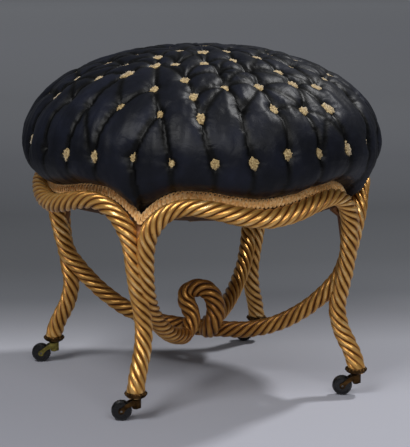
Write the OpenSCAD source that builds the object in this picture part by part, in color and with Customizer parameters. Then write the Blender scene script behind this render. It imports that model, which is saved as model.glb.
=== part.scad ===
// Round rope-carved gilt stool with a deep-buttoned satin cushion, on four swivel casters.
// The frame stands with its front to -Y, its floor at z = 0 and its middle on the z axis.
// Each leg lies in the upright plane through its corner and the z axis.

/* [Cushion] */
// Height of the cushion's crown above the floor
crown_z = 478; // [470:1:490]
// How far the cushion stands out beyond the ring of the rope rails' axes, where it is fullest
cushion_over = 24.5; // [20:0.5:28]
// Height of the cushion's fullest line above the floor
belly_z = 345; // [338:1:352]
// Fullness of the dome, from an ellipse upwards
dome_power = 2.1; // [2:0.05:2.3]
// Depth to which a button draws the satin in
button_pull = 12; // [6:0.5:14]
// Depth to which a pleat between two buttons draws the satin in
pleat_pull = 5; // [2:0.5:7]
// Width of a silk tuft button
button_d = 12; // [9:0.5:13]
// Buttons in the ring round the cushion's side
side_buttons = 30; // [26:1:32]
// Height of the ring of buttons round the cushion's side
side_button_z = 353; // [347:1:358]
// Thickness of the satin where it laps down over the rail
satin_t = 1.4; // [1:0.1:2]
// Height of the hair pad's crown above the floor
pad_crown_z = 432; // [420:1:438]
// Gap in plan between the hair pad's edge and the seat rails' outer face
pad_inset = 8; // [6:1:14]

/* [Seat rails] */
// Radius of a rope rail half way along
rail_r = 13.2; // [12.6:0.1:13.6]
// Radius of a rope rail at its two shoulders
shoulder_r = 11.8; // [11.2:0.1:12.2]
// Height of the rope rails' two crests
crest_z = 289.7; // [286:0.1:292]
// Depth of the dip half way along a rope rail
rail_dip = 17.5; // [10:0.5:19]
// Turn from the middle of a rope rail to each of its crests
crest_turn = 27.5; // [25:0.5:29]
// Thickness of a seat rail behind the rope
seat_rail_t = 22; // [18:1:26]
// Height of the seat rails' lower edge above the floor
seat_rail_z = 270; // [267:0.5:273]
// Height of a seat rail
seat_rail_h = 30; // [27:0.5:32]
// Width of the head of a leg, between the seat rails
head_w = 44; // [36:1:48]
// Depth of the head of a leg, towards the stool's middle
head_depth = 32; // [28:1:36]
// Thickness of a corner brace
brace_t = 20; // [16:1:24]
// Height of a corner brace
brace_h = 24; // [16:1:26]

/* [Rope legs] */
// Distance of a foot's axis from the z axis, along its diagonal
foot_reach = 233; // [228:1:238]
// Distance of the leg's narrowest place from the z axis
waist_reach = 204.5; // [200:0.5:209]
// Height of the leg's narrowest place above the floor
waist_z = 120; // [114:1:126]
// Distance of the leg's top from the z axis
hip_reach = 225; // [222:0.5:228]
// Height at which the twin ropes of a leg part into the two rails
hip_z = 257; // [254:0.5:259]
// Half the distance between the twin ropes where they part
hip_spread = 18; // [16:0.5:19]
// Radius of the ropes where they part
hip_r = 13.2; // [12.4:0.1:13.4]
// Radius of the ropes in the legs
leg_r = 12.25; // [11.5:0.05:12.4]

/* [Stretcher] */
// Radius of the ropes in the stretcher
arm_r = 11.75; // [11:0.05:12.2]
// Height of the stretcher's ropes where they meet the knot
knot_z = 77.5; // [72:0.5:84]
// Distance from the z axis at which an arm meets the knot
knot_reach = 68; // [66:0.5:72]
// Height of the top of the knot's loop above the stretcher's ropes
loop_h = 61; // [58:0.5:68]
// Half width of the knot's loop, from axis to axis
loop_half = 19; // [17:0.25:22]

/* [Rope lay] */
// Number of strands in a rope
strands = 6; // [5:1:7]
// Length of one full turn of the strands
lay = 84; // [70:1:110]
// Depth of the groove between two strands, as a part of the rope's radius
groove = 0.17; // [0.1:0.01:0.22]
// Distance between two rings of a rope's surface
ring_step = 9; // [8:0.5:12]

/* [Casters] */
// Diameter of a caster's wheel
wheel_d = 28; // [26:0.5:29]
// Width of a caster's wheel
wheel_w = 12; // [10:0.5:14]
// Distance from a caster's pin to its wheel's axle
trail = 19; // [18:0.5:22]
// Direction in which the wheels lie from their pins, from +X
trail_dir = 156.6; // [0:0.1:360]
// Diameter of the caster's cup round the rope foot
cup_d = 27.4; // [27:0.2:30]
// Height of the cup's floor above the floor
cup_floor_z = 33.5; // [33:0.1:36]
// Depth of the cup
cup_depth = 6; // [4:0.5:8]
// Diameter of the caster's pin
pin_d = 5; // [4:0.1:6]
// Diameter of the wheel's axle
axle_d = 3.2; // [2.5:0.1:4]
// Running clearance between a pin or axle and its bore, on the diameter
bore_play = 0.12; // [0.08:0.01:0.2]
// Thickness of a caster fork's arm
arm_t = 2.2; // [1.8:0.1:3]

/* [Gimp] */
// Height of the gimp braid
gimp_h = 11; // [9:0.5:11.5]
// Thickness of the gimp braid
gimp_t = 2; // [1.5:0.1:2.5]
// Height of the gimp's upper edge above the crests of the rope rails' axes
gimp_over = 19.3; // [19:0.1:22]
// Depth of the dip in the gimp's upper edge half way along a rail
gimp_dip = 13.5; // [8:0.5:15]
// Height of the gimp's point at a corner above the place where the ropes part
gimp_tip = 18; // [17:0.5:21]

/* [Springs and webbing] */
// Width of a jute web
web_w = 50; // [40:1:54]
// Thickness of a jute web
web_t = 1.6; // [1.2:0.1:2]
// Distance between two webs
web_pitch = 72; // [64:1:76]
// Diameter of the spring wire
wire_d = 3.4; // [3:0.1:4]
// Diameter of a spring at its ends
spring_d = 62; // [54:1:66]
// Diameter of a spring at its waist
spring_waist_d = 42; // [36:1:50]
// Height of a spring
spring_h = 46; // [40:0.5:50]
// Number of turns in a spring
spring_turns = 4; // [3:1:5]
// Distance from the stool's middle to a spring, along x and along y
spring_at = 48; // [40:1:54]

/* [Hidden] */

// Gap left between soft pieces and what they lie against
soft_gap = 0.3;
// Gap left between two carved pieces that lie side by side
seat_gap = 0.3;
gold = "goldenrod";
beech = "burlywood";
brass = "darkkhaki";

// Vectors
function unit(v) = v / norm(v);
function turn2(v, a) = [v[0] * cos(a) - v[1] * sin(a), v[0] * sin(a) + v[1] * cos(a), v[2]];
// Point at a reach along the diagonal of a corner, moved to the side and up; a side above 0
// lies against the clock from the corner, seen from above
function at_corner(c, reach, side, z) =
    let (a = c * 90 - 135)
    [reach * cos(a) - side * sin(a), reach * sin(a) + side * cos(a), z];

// Smooth curve through points whose fourth number is the rope's radius there
function curve_at(p, i, t) =
    let (a = p[max(i - 1, 0)], b = p[i], c = p[i + 1], d = p[min(i + 2, len(p) - 1)])
    0.5 * (2 * b + (c - a) * t + (2 * a - 5 * b + 4 * c - d) * t * t
           + (3 * b - a - 3 * c + d) * t * t * t);
curve_steps = 8;
function curve(p) = [
    for (i = [0 : len(p) - 2]) for (j = [0 : curve_steps - 1]) curve_at(p, i, j / curve_steps),
    p[len(p) - 1]
];
function xyz(q) = [q[0], q[1], q[2]];
function lengths(q) = [
    for (i = 0, s = 0; i < len(q);
         i = i + 1, s = i < len(q) ? s + norm(xyz(q[i]) - xyz(q[i - 1])) : s) s
];
// The same curve with its points at equal distances
function even(q, n) =
    let (s = lengths(q), total = s[len(s) - 1],
         t = [for (k = [0 : 3]) [for (i = [0 : len(q) - 1]) [s[i], q[i][k]]]])
    [for (i = [0 : n]) [for (k = [0 : 3]) lookup(total * i / n, t[k])]];
function tangents(q) = [
    for (i = [0 : len(q) - 1])
        unit(xyz(q[min(i + 1, len(q) - 1)]) - xyz(q[max(i - 1, 0)]))
];
// Normals carried along a curve without twist
function normals(t, first) = [
    for (i = 0, n = unit(first - (first * t[0]) * t[0]); i < len(t);
         i = i + 1, n = i < len(t) ? unit(n - (n * t[i]) * t[i]) : n) n
];

// Rope surface: rings of strands turned along the curve, left-handed
ring_points = 2 * strands;
function ring(q, t, n, phase) = [
    for (j = [0 : ring_points - 1])
        let (a = phase + j * 360 / ring_points,
             r = q[3] * (j % 2 == 0 ? 1 : 1 - groove))
        xyz(q) + r * (cos(a) * n + sin(a) * cross(t, n))
];
module rope(q, t, n, phases) {
    rings = [for (i = [0 : len(q) - 1]) ring(q[i], t[i], n[i], phases[i])];
    skin(rings);
}
// Closed solid through rings with the same number of points
module skin(rings) {
    m = len(rings[0]);
    last = len(rings) - 1;
    faces = concat(
        [[for (j = [0 : m - 1]) j]],
        [for (i = [0 : last - 1]) for (j = [0 : m - 1])
            [i * m + j, (i + 1) * m + j, (i + 1) * m + (j + 1) % m]],
        [for (i = [0 : last - 1]) for (j = [0 : m - 1])
            [i * m + j, (i + 1) * m + (j + 1) % m, i * m + (j + 1) % m]],
        [[for (j = [m - 1 : -1 : 0]) last * m + j]]
    );
    polyhedron([for (r = rings) each r], faces, convexity = 10);
}

// The rope rails' axes lie on one ring round the stool's middle, in four waves; a turn is
// counted from the middle of a rail
ring_r = norm([hip_reach, hip_spread]);
hip_turn = 45 - atan(hip_spread / hip_reach);
function on_ring(r, turn, z) = [r * sin(turn), -r * cos(turn), z];
function wave(turn, crest, dip) = crest - dip * (1 + cos(180 * turn / crest_turn)) / 2;
// Steepness with which a rope rail falls from its crest to a leg
fall_power = 2.3;
function rail_z(turn) =
    abs(turn) <= crest_turn
    ? wave(turn, crest_z, rail_dip)
    : crest_z - (crest_z - hip_z) * pow((abs(turn) - crest_turn) / (hip_turn - crest_turn), fall_power);
function rail_radius(turn) =
    lookup(abs(turn) / hip_turn, [[0, rail_r], [0.25, rail_r], [0.7, shoulder_r], [0.87, shoulder_r], [1, hip_r]]);
rail_stations = [-0.87, -0.7, -0.5, -0.25, 0, 0.25, 0.5, 0.7, 0.87];

// Outline of a leg along its diagonal: reach and height, from the foot up to the hip
foot_line = [
    [foot_reach, cup_floor_z + 0.5],
    [foot_reach, cup_floor_z + 8],
    [foot_reach - 0.25 * (foot_reach - waist_reach), cup_floor_z + 28.5],
    [waist_reach + 0.21 * (foot_reach - waist_reach), waist_z - 28],
    [waist_reach, waist_z],
    [waist_reach + 0.2 * (hip_reach - waist_reach), waist_z + 26],
    [waist_reach + 0.54 * (hip_reach - waist_reach), waist_z + 55],
    [waist_reach + 0.79 * (hip_reach - waist_reach), hip_z - 53],
    [waist_reach + 0.9 * (hip_reach - waist_reach), hip_z - 25],
    [hip_reach, hip_z]
];
foot_side = [0, 0, 0, 0, 0.05, 0.14, 0.28, 0.41, 0.56, 1];
// Outline of the rope that leaves the leg for the stretcher, from the hip down to the knot
arm_line = [
    [hip_reach, hip_z],
    [waist_reach + 0.88 * (hip_reach - waist_reach), hip_z - 25],
    [waist_reach + 0.66 * (hip_reach - waist_reach), hip_z - 51],
    [waist_reach + 0.37 * (hip_reach - waist_reach), waist_z + 62],
    [waist_reach - 1.5, waist_z + 42],
    [waist_reach - 14.5, waist_z + 26],
    [waist_reach - 29.5, waist_z + 11],
    [waist_reach - 54.5, waist_z - 9],
    [waist_reach - 84.5, waist_z - 26.5],
    [knot_reach + 24, knot_z + 5.5],
    [knot_reach, knot_z],
    [knot_reach - 12, knot_z - 1.5]
];
arm_side = [1, 0.56, 0.41, 0.31, 0.22, 0.11, 0.03, 0, 0, 0, 0, 0];

// A rope runs from the foot at its right end, along its rail, to the knot from its left end
rope_line = concat(
    [for (i = [0 : len(foot_line) - 2])
        [each at_corner(1, foot_line[i][0], -hip_spread * foot_side[i], foot_line[i][1]),
         i == len(foot_line) - 2 ? (leg_r + hip_r) / 2 : leg_r]],
    [[each at_corner(1, hip_reach, -hip_spread, hip_z), hip_r]],
    [for (u = rail_stations) let (turn = -u * hip_turn)
        [each on_ring(ring_r, turn, rail_z(turn)), rail_radius(turn)]],
    [[each at_corner(0, hip_reach, hip_spread, hip_z), hip_r]],
    [for (i = [1 : len(arm_line) - 1])
        [each at_corner(0, arm_line[i][0], hip_spread * arm_side[i], arm_line[i][1]),
         i == 1 ? (leg_r + hip_r) / 2 : i < 6 ? leg_r : arm_r]]
);
function cut(v, from, to) = [for (i = [from : to]) v[i]];
// Direction in which corner c's arm runs into the knot
joint_slope = 0.12;
function knot_plane(c) = unit(at_corner(c, -1, 0, -joint_slope));
// A rope split where its pieces meet: foot, rail and arm
function stretch(q, from, to) =
    let (part = [for (i = [from : to]) q[i]],
         s = lengths(part),
         n = max(2, round(s[len(s) - 1] / ring_step)))
    even(part, n);
foot_points = len(foot_line) - 1;
rail_points = len(rail_stations);
rope_parts =
    let (q = curve(rope_line),
         a = foot_points * curve_steps,
         b = (foot_points + rail_points + 1) * curve_steps,
         c = b + 6 * curve_steps,
         d = len(q) - 1 - curve_steps,
         foot = stretch(q, 0, a),
         rail = stretch(q, a, b),
         branch = stretch(q, b, c),
         arm = stretch(q, c, d))
    [foot, rail, branch, arm];
function joined(parts) = [
    for (i = [0 : len(parts) - 1]) for (j = [0 : len(parts[i]) - 1])
        if (i == 0 || j > 0) parts[i][j]
];
// What the nodes need of a rope: points, tangents, normals, phases and the cuts
rope_all =
    let (q = joined(rope_parts),
         last = len(q) - 1,
         t = [each cut(tangents(q), 0, last - 1), knot_plane(0)],
         n = normals(t, [1, 1, 0]),
         s = lengths(q),
         f = [for (v = s) -360 * v / lay],
         c1 = len(rope_parts[0]) - 1,
         c2 = c1 + len(rope_parts[1]) - 1,
         c3 = c2 + len(rope_parts[2]) - 1)
    [q, t, n, f, [0, c1, c2, c3, len(q) - 1]];
module rope_part(k, part) {
    r = rope_all;
    from = r[4][part];
    to = r[4][part + 1];
    pick = [for (i = [from : to]) i];
    rotate([0, 0, 90 * k])
        rope([for (i = pick) r[0][i]], [for (i = pick) r[1][i]],
             [for (i = pick) r[2][i]], [for (i = pick) r[3][i]]);
}

// Legs: two ropes that run together from the rails and part into a foot and a stretcher arm.
// Leg c stands at the left end of side c; its foot comes from the side before it.
board_out = ring_r - rail_r - seat_gap;
board_in = board_out - seat_rail_t;
head_in = board_out - head_depth;
head_low = hip_z - 9;
core_reach = hip_reach - 11;
core_low = hip_z - 47;
module leg(c) {
    color(gold) {
        rope_part((c + 3) % 4, 0);
        rope_part(c, 2);
        rotate([0, 0, 90 * c - 135]) {
            translate([core_reach, 0, core_low]) cylinder(r1 = 6, r2 = 12.5, h = hip_z - 2 - core_low, $fn = 32);
            intersection() {
                translate([head_in, -head_w / 2, head_low])
                    cube([head_depth, head_w, seat_rail_z + seat_rail_h - head_low]);
                cylinder(r = board_out, h = 2 * seat_rail_z, $fn = 180);
            }
        }
    }
}

// Rope rails between the legs
module rope_rail(k) {
    color(gold) rope_part(k, 1);
}

// Stretcher arms from the legs to the knot
module stretcher_arm(k) {
    color(gold) rope_part(k, 3);
}

// Knot: one rope loops up over the other, which runs straight across below it
knot_line_loop = [
    [-knot_reach - 24, 0, 5.5],
    [-knot_reach, 0, 0],
    [-57, -1, 0],
    [-47, 1.5, 8.5],
    [-42, 3.5, loop_h / 3],
    [-38, 10.25 - loop_half * 0.65, loop_h * 0.54],
    [-35, 10.25 - loop_half, loop_h * 0.74],
    [-31, 10.25 - loop_half * 0.88, loop_h * 0.91],
    [-26, 8, loop_h],
    [-22, 10.25 + loop_half * 0.62, loop_h * 0.9],
    [-20, 10.25 + loop_half, loop_h * 0.66],
    [-20, 11.25 + loop_half, loop_h * 0.41],
    [-21, 27, 11.5],
    [-16, 20, 0.5],
    [-2, 10, -3.5],
    [20, 2, -3.5],
    [44, 0, -2.5],
    [knot_reach, 0, 0],
    [knot_reach + 24, 0, 5.5]
];
knot_line_cross = [
    [0, -knot_reach - 24, 5.5],
    [0, -knot_reach, 0],
    [0, -34, -2.5],
    [0, 0, -3.5],
    [0, 34, -2.5],
    [0, knot_reach, 0],
    [0, knot_reach + 24, 5.5]
];
// The knot's own axes: along the front left to back right diagonal, and across it
function knot_point(p) = [each turn2([p[0], -p[1], 0] + [0, 0, knot_z + p[2]], 45), arm_r];
// A rope of the knot takes up the strands of the arm that it starts from, and its lay is
// eased so that they meet those of the arm where it ends
function knot_rope(line, from, to) =
    let (q0 = curve([for (p = line) knot_point(p)]),
         part = [for (i = [curve_steps : len(q0) - 1 - curve_steps]) q0[i]],
         total = lengths(part)[len(part) - 1],
         q = even(part, round(total / ring_step)),
         t = [knot_plane(from), each cut(tangents(q), 1, len(q) - 2), -knot_plane(to)],
         arm_end = len(rope_all[0]) - 1,
         na = turn2(rope_all[2][arm_end], 90 * from), nb = turn2(rope_all[2][arm_end], 90 * to),
         n = normals(t, na),
         last = len(q) - 1,
         off = atan2(nb * cross(t[last], n[last]), nb * n[last]),
         start = rope_all[3][arm_end],
         goal = off - start,
         plain = start - 360 * total / lay,
         step = 360 / strands,
         end = goal + step * round((plain - goal) / step),
         f = [for (i = [0 : last]) start + (end - start) * i / last])
    [q, t, n, f];
module stretcher_knot() {
    loop = knot_rope(knot_line_loop, 0, 2);
    cross_rope = knot_rope(knot_line_cross, 3, 1);
    color(gold) {
        rope(loop[0], loop[1], loop[2], loop[3]);
        rope(cross_rope[0], cross_rope[1], cross_rope[2], cross_rope[3]);
    }
}

// Seat rails: bowed beech boards behind the ropes, between the legs' heads
module seat_rail(k) {
    far = 4 * board_out;
    color(beech) rotate([0, 0, 90 * k]) translate([0, 0, seat_rail_z]) linear_extrude(seat_rail_h)
        intersection() {
            difference() {
                circle(r = board_out, $fn = 180);
                circle(r = board_in, $fn = 180);
            }
            polygon([[0, -head_w / sqrt(2)], xy(at_corner(0, far, head_w / 2, 0)), xy(at_corner(1, far, -head_w / 2, 0))]);
        }
}
function xy(p) = [p[0], p[1]];

// Corner braces across the inner side of the legs' heads, from seat rail to seat rail
brace_play = 0.1;
module corner_brace(c) {
    color(beech) rotate([0, 0, 90 * c - 135])
        translate([0, 0, seat_rail_z + (seat_rail_h - brace_h) / 2]) intersection() {
            translate([head_in - seat_gap - brace_t, -board_out, 0]) cube([brace_t, 2 * board_out, brace_h]);
            cylinder(r = board_in - brace_play, h = brace_h, $fn = 180);
        }
}

// Webbing: three webs each way, woven over and under, tacked below the seat rails
web_gap = 0.2;
web_swing = (web_t + web_gap) / 2;
web_z = seat_rail_z - web_gap - web_t / 2 - web_swing;
module web(i, flip) {
    half = sqrt(pow(board_out - seat_rail_t * 0.45, 2) - pow(abs(i) * (web_pitch + web_w * 0.1), 2));
    flat = web_w / 2 + 1;
    line = concat(
        [[-half, web_swing], [-web_pitch - 2 * flat, web_swing]],
        [for (j = [-1 : 1]) for (e = [-1, 1])
            [j * web_pitch + e * flat, web_swing * flip * (even_n(i + j) ? 1 : -1)]],
        [[web_pitch + 2 * flat, web_swing], [half, web_swing]]
    );
    translate([0, i * web_pitch + web_w / 2, web_z]) rotate([90, 0, 0])
        linear_extrude(web_w)
            polygon(concat([for (p = line) p + [0, web_t / 2]],
                           [for (s = [len(line) - 1 : -1 : 0]) line[s] - [0, web_t / 2]]));
}
module webbing_across() {
    color("tan") for (i = [-1 : 1]) web(i, 1);
}
module webbing_along() {
    color("tan") rotate([0, 0, 90]) for (i = [-1 : 1]) web(i, -1);
}

// Springs: hourglass coils that stand on the webbing below the hessian
spring_z = web_z + web_swing + web_t / 2 + soft_gap + wire_d / 2;
module spring() {
    per_turn = 8;
    n = per_turn * spring_turns;
    rise = spring_h - wire_d;
    q = [for (i = [0 : n])
        let (u = i / n, w = 1 - 4 * u * (1 - u),
             r = (spring_waist_d + (spring_d - spring_waist_d) * w - wire_d) / 2,
             a = 360 * spring_turns * u)
        [r * cos(a), r * sin(a), rise * u, wire_d / 2]];
    t = tangents(q);
    nn = normals(t, [1, 0, 0]);
    skin([for (i = [0 : n]) [for (j = [0 : 5])
        xyz(q[i]) + q[i][3] * (cos(60 * j) * nn[i] + sin(60 * j) * cross(t[i], nn[i]))]]);
}
module springs() {
    color("slategray") for (x = [-1, 1]) for (y = [-1, 1])
        translate([x * spring_at, y * spring_at, spring_z]) spring();
}

// Hessian: stretched over the springs and down to the seat rails
hessian_t = 1.2;
hessian_low = seat_rail_z + seat_rail_h + soft_gap;
hessian_top = spring_z + spring_h - wire_d / 2 + soft_gap;
pad_r = board_out - pad_inset;
hessian_r = pad_r - 3;
hessian_flat_r = (spring_at + spring_d / 2) * 1.3;
// The cone that the hessian makes, raised by a lift and wider by a play
module tent(lift, play) {
    low = hessian_low - 0.1;
    high = hessian_top + hessian_t;
    slope = (hessian_r - hessian_flat_r) / (high - hessian_low);
    translate([0, 0, low + lift])
        cylinder(r1 = hessian_r + play + slope * 0.1, r2 = hessian_flat_r + play, h = high - low, $fn = 90);
}
module hessian() {
    color("wheat") difference() {
        intersection() {
            tent(0, 0);
            translate([0, 0, hessian_low]) cylinder(r = 2 * hessian_r, h = spring_h);
        }
        tent(-hessian_t, 0);
    }
}

// Hair pad: a domed pad over the hessian
pad_edge_z = pad_crown_z - 92;
pad_sphere_r = (pad_r * pad_r * 1.1 + pow(pad_crown_z - pad_edge_z, 2)) / (2 * (pad_crown_z - pad_edge_z));
module pad_body(grow) {
    intersection() {
        translate([0, 0, hessian_low]) cylinder(r = pad_r + grow, h = pad_crown_z - hessian_low + grow, $fn = 60);
        translate([0, 0, pad_crown_z - pad_sphere_r]) sphere(r = pad_sphere_r + grow, $fn = 90);
    }
}
module hair_pad() {
    color("saddlebrown") difference() {
        pad_body(0);
        tent(soft_gap, soft_gap);
        translate([0, 0, hessian_low - 1]) cylinder(r = hessian_r + soft_gap, h = 1 + soft_gap + 0.1, $fn = 90);
    }
}

// Gimp: a braid above each rope rail, mitred at the corners into a point
skirt_gap = 0.65;
gimp_r = board_out + skirt_gap + satin_t + soft_gap + gimp_t / 2;
// Height of the gimp's upper edge
function gimp_top(turn) =
    let (crest = crest_z + gimp_over)
    abs(turn) <= crest_turn
    ? wave(turn, crest, gimp_dip)
    : crest - (crest - hip_z - gimp_tip) * pow((abs(turn) - crest_turn) / (45 - crest_turn), 2.2);
module gimp(k) {
    n = 34;
    past = 48;
    line = [for (i = [0 : n]) let (turn = past * (2 * i / n - 1)) [each on_ring(gimp_r, turn, gimp_top(turn)), 0]];
    t = tangents(line);
    color("khaki") rotate([0, 0, 90 * k]) intersection() {
        skin([for (i = [0 : n])
            let (p = xyz(line[i]), out = unit([p[0], p[1], 0]), up = cross(out, t[i]))
            [p + out * gimp_t / 2, p + out * gimp_t / 2 - up * gimp_h,
             p - out * gimp_t / 2 - up * gimp_h, p - out * gimp_t / 2]]);
        rotate([0, 0, -135]) quarter();
    }
}
module quarter() {
    mitre = 0.1;
    linear_extrude(2 * hip_z) polygon([[mitre, mitre], [2 * ring_r, mitre], [2 * ring_r, 2 * ring_r], [mitre, 2 * ring_r]]);
}

// Cushion: rings of points from the crown down to the gimp. In a ring of buttons every
// second point is a button; between two such rings the satin stands full.
cushion_r = ring_r + cushion_over;
// Rings of buttons on the dome: distance in from the fullest line, buttons, first direction
button_rings = [[202, 8, 23], [158, 14, 18], [116, 20, 2], [70, 24, 0], [32, 28, 4]];
function dome_z(r) =
    belly_z + (crown_z - belly_z) * pow(max(1 - pow(r / cushion_r, dome_power), 0.01), 1 / dome_power);
function side_r(z) = cushion_r * sqrt(1 - pow((z - belly_z) / (crown_z - belly_z), 2));
// Direction in which the satin is drawn in at a point of the cushion
function inward(p) =
    let (r = norm([p[0], p[1]]), rise = crown_z - belly_z,
         out = pow(r / cushion_r, dome_power - 1) / cushion_r,
         up = pow(max(p[2] - belly_z, 0) / rise, dome_power - 1) / rise)
    -unit([out * p[0] / r, out * p[1] / r, up]);
function around(r, direction, z) = [r * cos(direction), r * sin(direction), z];
function even_n(i) = abs(i) % 2 == 0;
// Ring of 2 n points, every second one a button, from its radius and height
function button_ring(r, z, n, first, button, pleat) = [
    for (i = [0 : 2 * n - 1])
        let (p = around(r, first + i * 180 / n, z))
        p + inward(p) * (even_n(i) ? button : pleat)
];
function plain_ring(r, z, n, first) = [for (i = [0 : 2 * n - 1]) around(r, first + i * 180 / n, z)];
first_side = 10;
// Turn of a direction from the middle of the rail that it faces
function turn_of(direction) = (direction + 1125) % 90 - 45;
// Ring of n points at the side; its share is the part of the way from the gimp's edge up to
// the fullest line. Every second point may be drawn in by a pleat.
function side_ring(r, share, lift, pleat, n, first) = [
    for (i = [0 : n - 1])
        let (d = first + i * 360 / n, low = gimp_top(turn_of(d)),
             p = around(r, d, low + share * (belly_z - low) + lift))
        p + inward(p) * (even_n(i) ? pleat : 0)
];
skirt_r = gimp_r - gimp_t / 2 - soft_gap;
dome_rings = [for (k = [0 : len(button_rings) - 1])
    let (b = button_rings[k], r = cushion_r - b[0], above = k == 0 ? 0 : cushion_r - button_rings[k - 1][0],
         mid = (r + above) / 2)
    each [[plain_ring(mid, dome_z(mid), b[1], b[2]), b[2]],
          [button_ring(r, dome_z(r), b[1], b[2], button_pull, pleat_pull), b[2]]]];
full_r = cushion_r - 12;
side_n = 2 * side_buttons;
skirt_n = 80;
skirt_low = -0.6 * gimp_h;
cushion_rings = concat(dome_rings, [
    [plain_ring(full_r, dome_z(full_r), side_buttons, first_side), first_side],
    [button_ring(side_r(side_button_z), side_button_z, side_buttons, first_side,
                 button_pull, pleat_pull * 0.5), first_side],
    [side_ring(cushion_r - 2.5, 0.65, 0, pleat_pull * 0.6, side_n, first_side), first_side],
    [side_ring(cushion_r - 9.5, 0.36, 0, pleat_pull * 0.4, side_n, first_side), first_side],
    [side_ring(cushion_r - 20.5, 0.15, 0, 0, skirt_n, 0), 0],
    [side_ring(skirt_r, 0, 1.6, 0, skirt_n, 0), 0],
    [side_ring(skirt_r, 0, skirt_low, 0, skirt_n, 0), 0],
    [side_ring(skirt_r - satin_t, 0, skirt_low, 0, skirt_n, 0), 0],
    [plain_ring(skirt_r - satin_t, hessian_low, skirt_n / 2, 0), 0]
]);
first_row = [for (i = 0, s = 1; i < len(cushion_rings); s = s + len(cushion_rings[i][0]), i = i + 1) s];
// Triangles between an inner ring and the ring outside or below it
function stitch(a, b) =
    let (n = len(cushion_rings[a][0]), m = len(cushion_rings[b][0]),
         fa = cushion_rings[a][1], fb = cushion_rings[b][1],
         at = [for (i = [0 : m]) round((fb - fa + (i + 0.5) * 360 / m) * n / 360)],
         near = [for (i = [0 : m]) i == m ? at[0] + n : at[i]])
    concat(
        [for (i = [0 : m - 1]) [row(b, i + 1), row(b, i), row(a, near[i])]],
        [for (j = [at[0] : at[0] + n - 1])
            let (i = min([for (i = [0 : m]) if (near[i] > j) i]))
            [row(a, j + 1), row(b, i), row(a, j)]]
    );
function row(ring, i) = let (n = len(cushion_rings[ring][0])) first_row[ring] + (i + n) % n;
crown = [0, 0, crown_z - button_pull];
module cushion_cover() {
    last = len(cushion_rings) - 1;
    n0 = len(cushion_rings[0][0]);
    faces = concat(
        [for (i = [0 : n0 - 1]) [0, row(0, i + 1), row(0, i)]],
        [for (r = [0 : last - 1]) each stitch(r, r + 1)],
        [[for (i = [0 : len(cushion_rings[last][0]) - 1]) row(last, i)]]
    );
    color("midnightblue") difference() {
        polyhedron(concat([crown], [for (r = cushion_rings) each r[0]]), faces, convexity = 10);
        translate([0, 0, -0.1]) pad_body(soft_gap);
    }
}

// Tuft buttons: small silk tufts in the cushion's dimples, each a faceted dome
tuft_sides = 8;
function tuft(p, into) =
    let (d = -into,
         a = unit(cross(d, abs(d[2]) > 0.9 ? [1, 0, 0] : [0, 0, 1])),
         b = cross(d, a))
    concat(
        [for (j = [0 : tuft_sides - 1]) let (t = j * 360 / tuft_sides)
            p + d * tuft_lift + tuft_stem * (cos(t) * a + sin(t) * b)],
        [for (j = [0 : tuft_sides - 1]) let (t = j * 360 / tuft_sides)
            p + d * (tuft_lift + tuft_neck) + button_d / 2 * (cos(t) * a + sin(t) * b)],
        [p + d * (tuft_lift + tuft_neck + tuft_crown)]
    );
tuft_lift = 0.75;
tuft_stem = 1.2;
tuft_neck = 3.4;
tuft_crown = 2.6;
module tufts(places) {
    m = 2 * tuft_sides + 1;
    faces = [for (k = [0 : len(places) - 1]) each concat(
        [[for (j = [tuft_sides - 1 : -1 : 0]) k * m + j]],
        [for (j = [0 : tuft_sides - 1]) [k * m + j, k * m + (j + 1) % tuft_sides,
            k * m + tuft_sides + j]],
        [for (j = [0 : tuft_sides - 1]) [k * m + tuft_sides + j, k * m + (j + 1) % tuft_sides,
            k * m + tuft_sides + (j + 1) % tuft_sides]],
        [for (j = [0 : tuft_sides - 1]) [k * m + tuft_sides + j,
            k * m + tuft_sides + (j + 1) % tuft_sides, k * m + 2 * tuft_sides]]
    )];
    color("lemonchiffon")
        polyhedron([for (c = places) each tuft(c[0], c[1])], faces, convexity = 10);
}
// Places of a ring's buttons, each with the direction into the cushion
function places(ring) =
    let (q = cushion_rings[ring][0])
    [for (i = [0 : 2 : len(q) - 1]) [q[i], inward(q[i])]];
module buttons_top() {
    tufts(concat([[crown, [0, 0, -1]]], [for (k = [0 : len(button_rings) - 1]) each places(2 * k + 1)]));
}
module buttons_side() {
    tufts(places(2 * len(button_rings) + 1));
}

// Casters
cup_wall = 1.2;
cup_r = leg_r + seat_gap;
boss_r = 7;
boss_top = cup_floor_z - 4;
boss_bottom = 17.5;
axle_z = wheel_d / 2;
fork_gap = 0.6;
module at_foot(c) {
    translate(at_corner(0, foot_reach, 0, 0)) children();
}
module caster_cup(c) {
    color(brass) rotate([0, 0, 90 * c]) at_foot() {
        rotate_extrude($fn = 48) polygon([
            [0, boss_bottom - 1.6], [pin_d / 2 + 1.1, boss_bottom - 1.6],
            [pin_d / 2 + 1.1, boss_bottom - 0.4], [pin_d / 2, boss_bottom - 0.4],
            [pin_d / 2, boss_top + 0.4], [boss_r, boss_top + 0.4],
            [cup_r - 0.6, cup_floor_z - 1], [cup_d / 2 - 0.7, cup_floor_z - 0.4],
            [cup_d / 2, cup_floor_z + 0.8], [cup_d / 2, cup_floor_z + cup_depth - 1.2],
            [cup_d / 2 - 0.7, cup_floor_z + cup_depth], [cup_r, cup_floor_z + cup_depth],
            [cup_r, cup_floor_z], [0, cup_floor_z]]);
    }
}
module at_caster(c) {
    translate(turn2(at_corner(0, foot_reach, 0, 0), 90 * c)) rotate([0, 0, trail_dir]) children();
}
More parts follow.
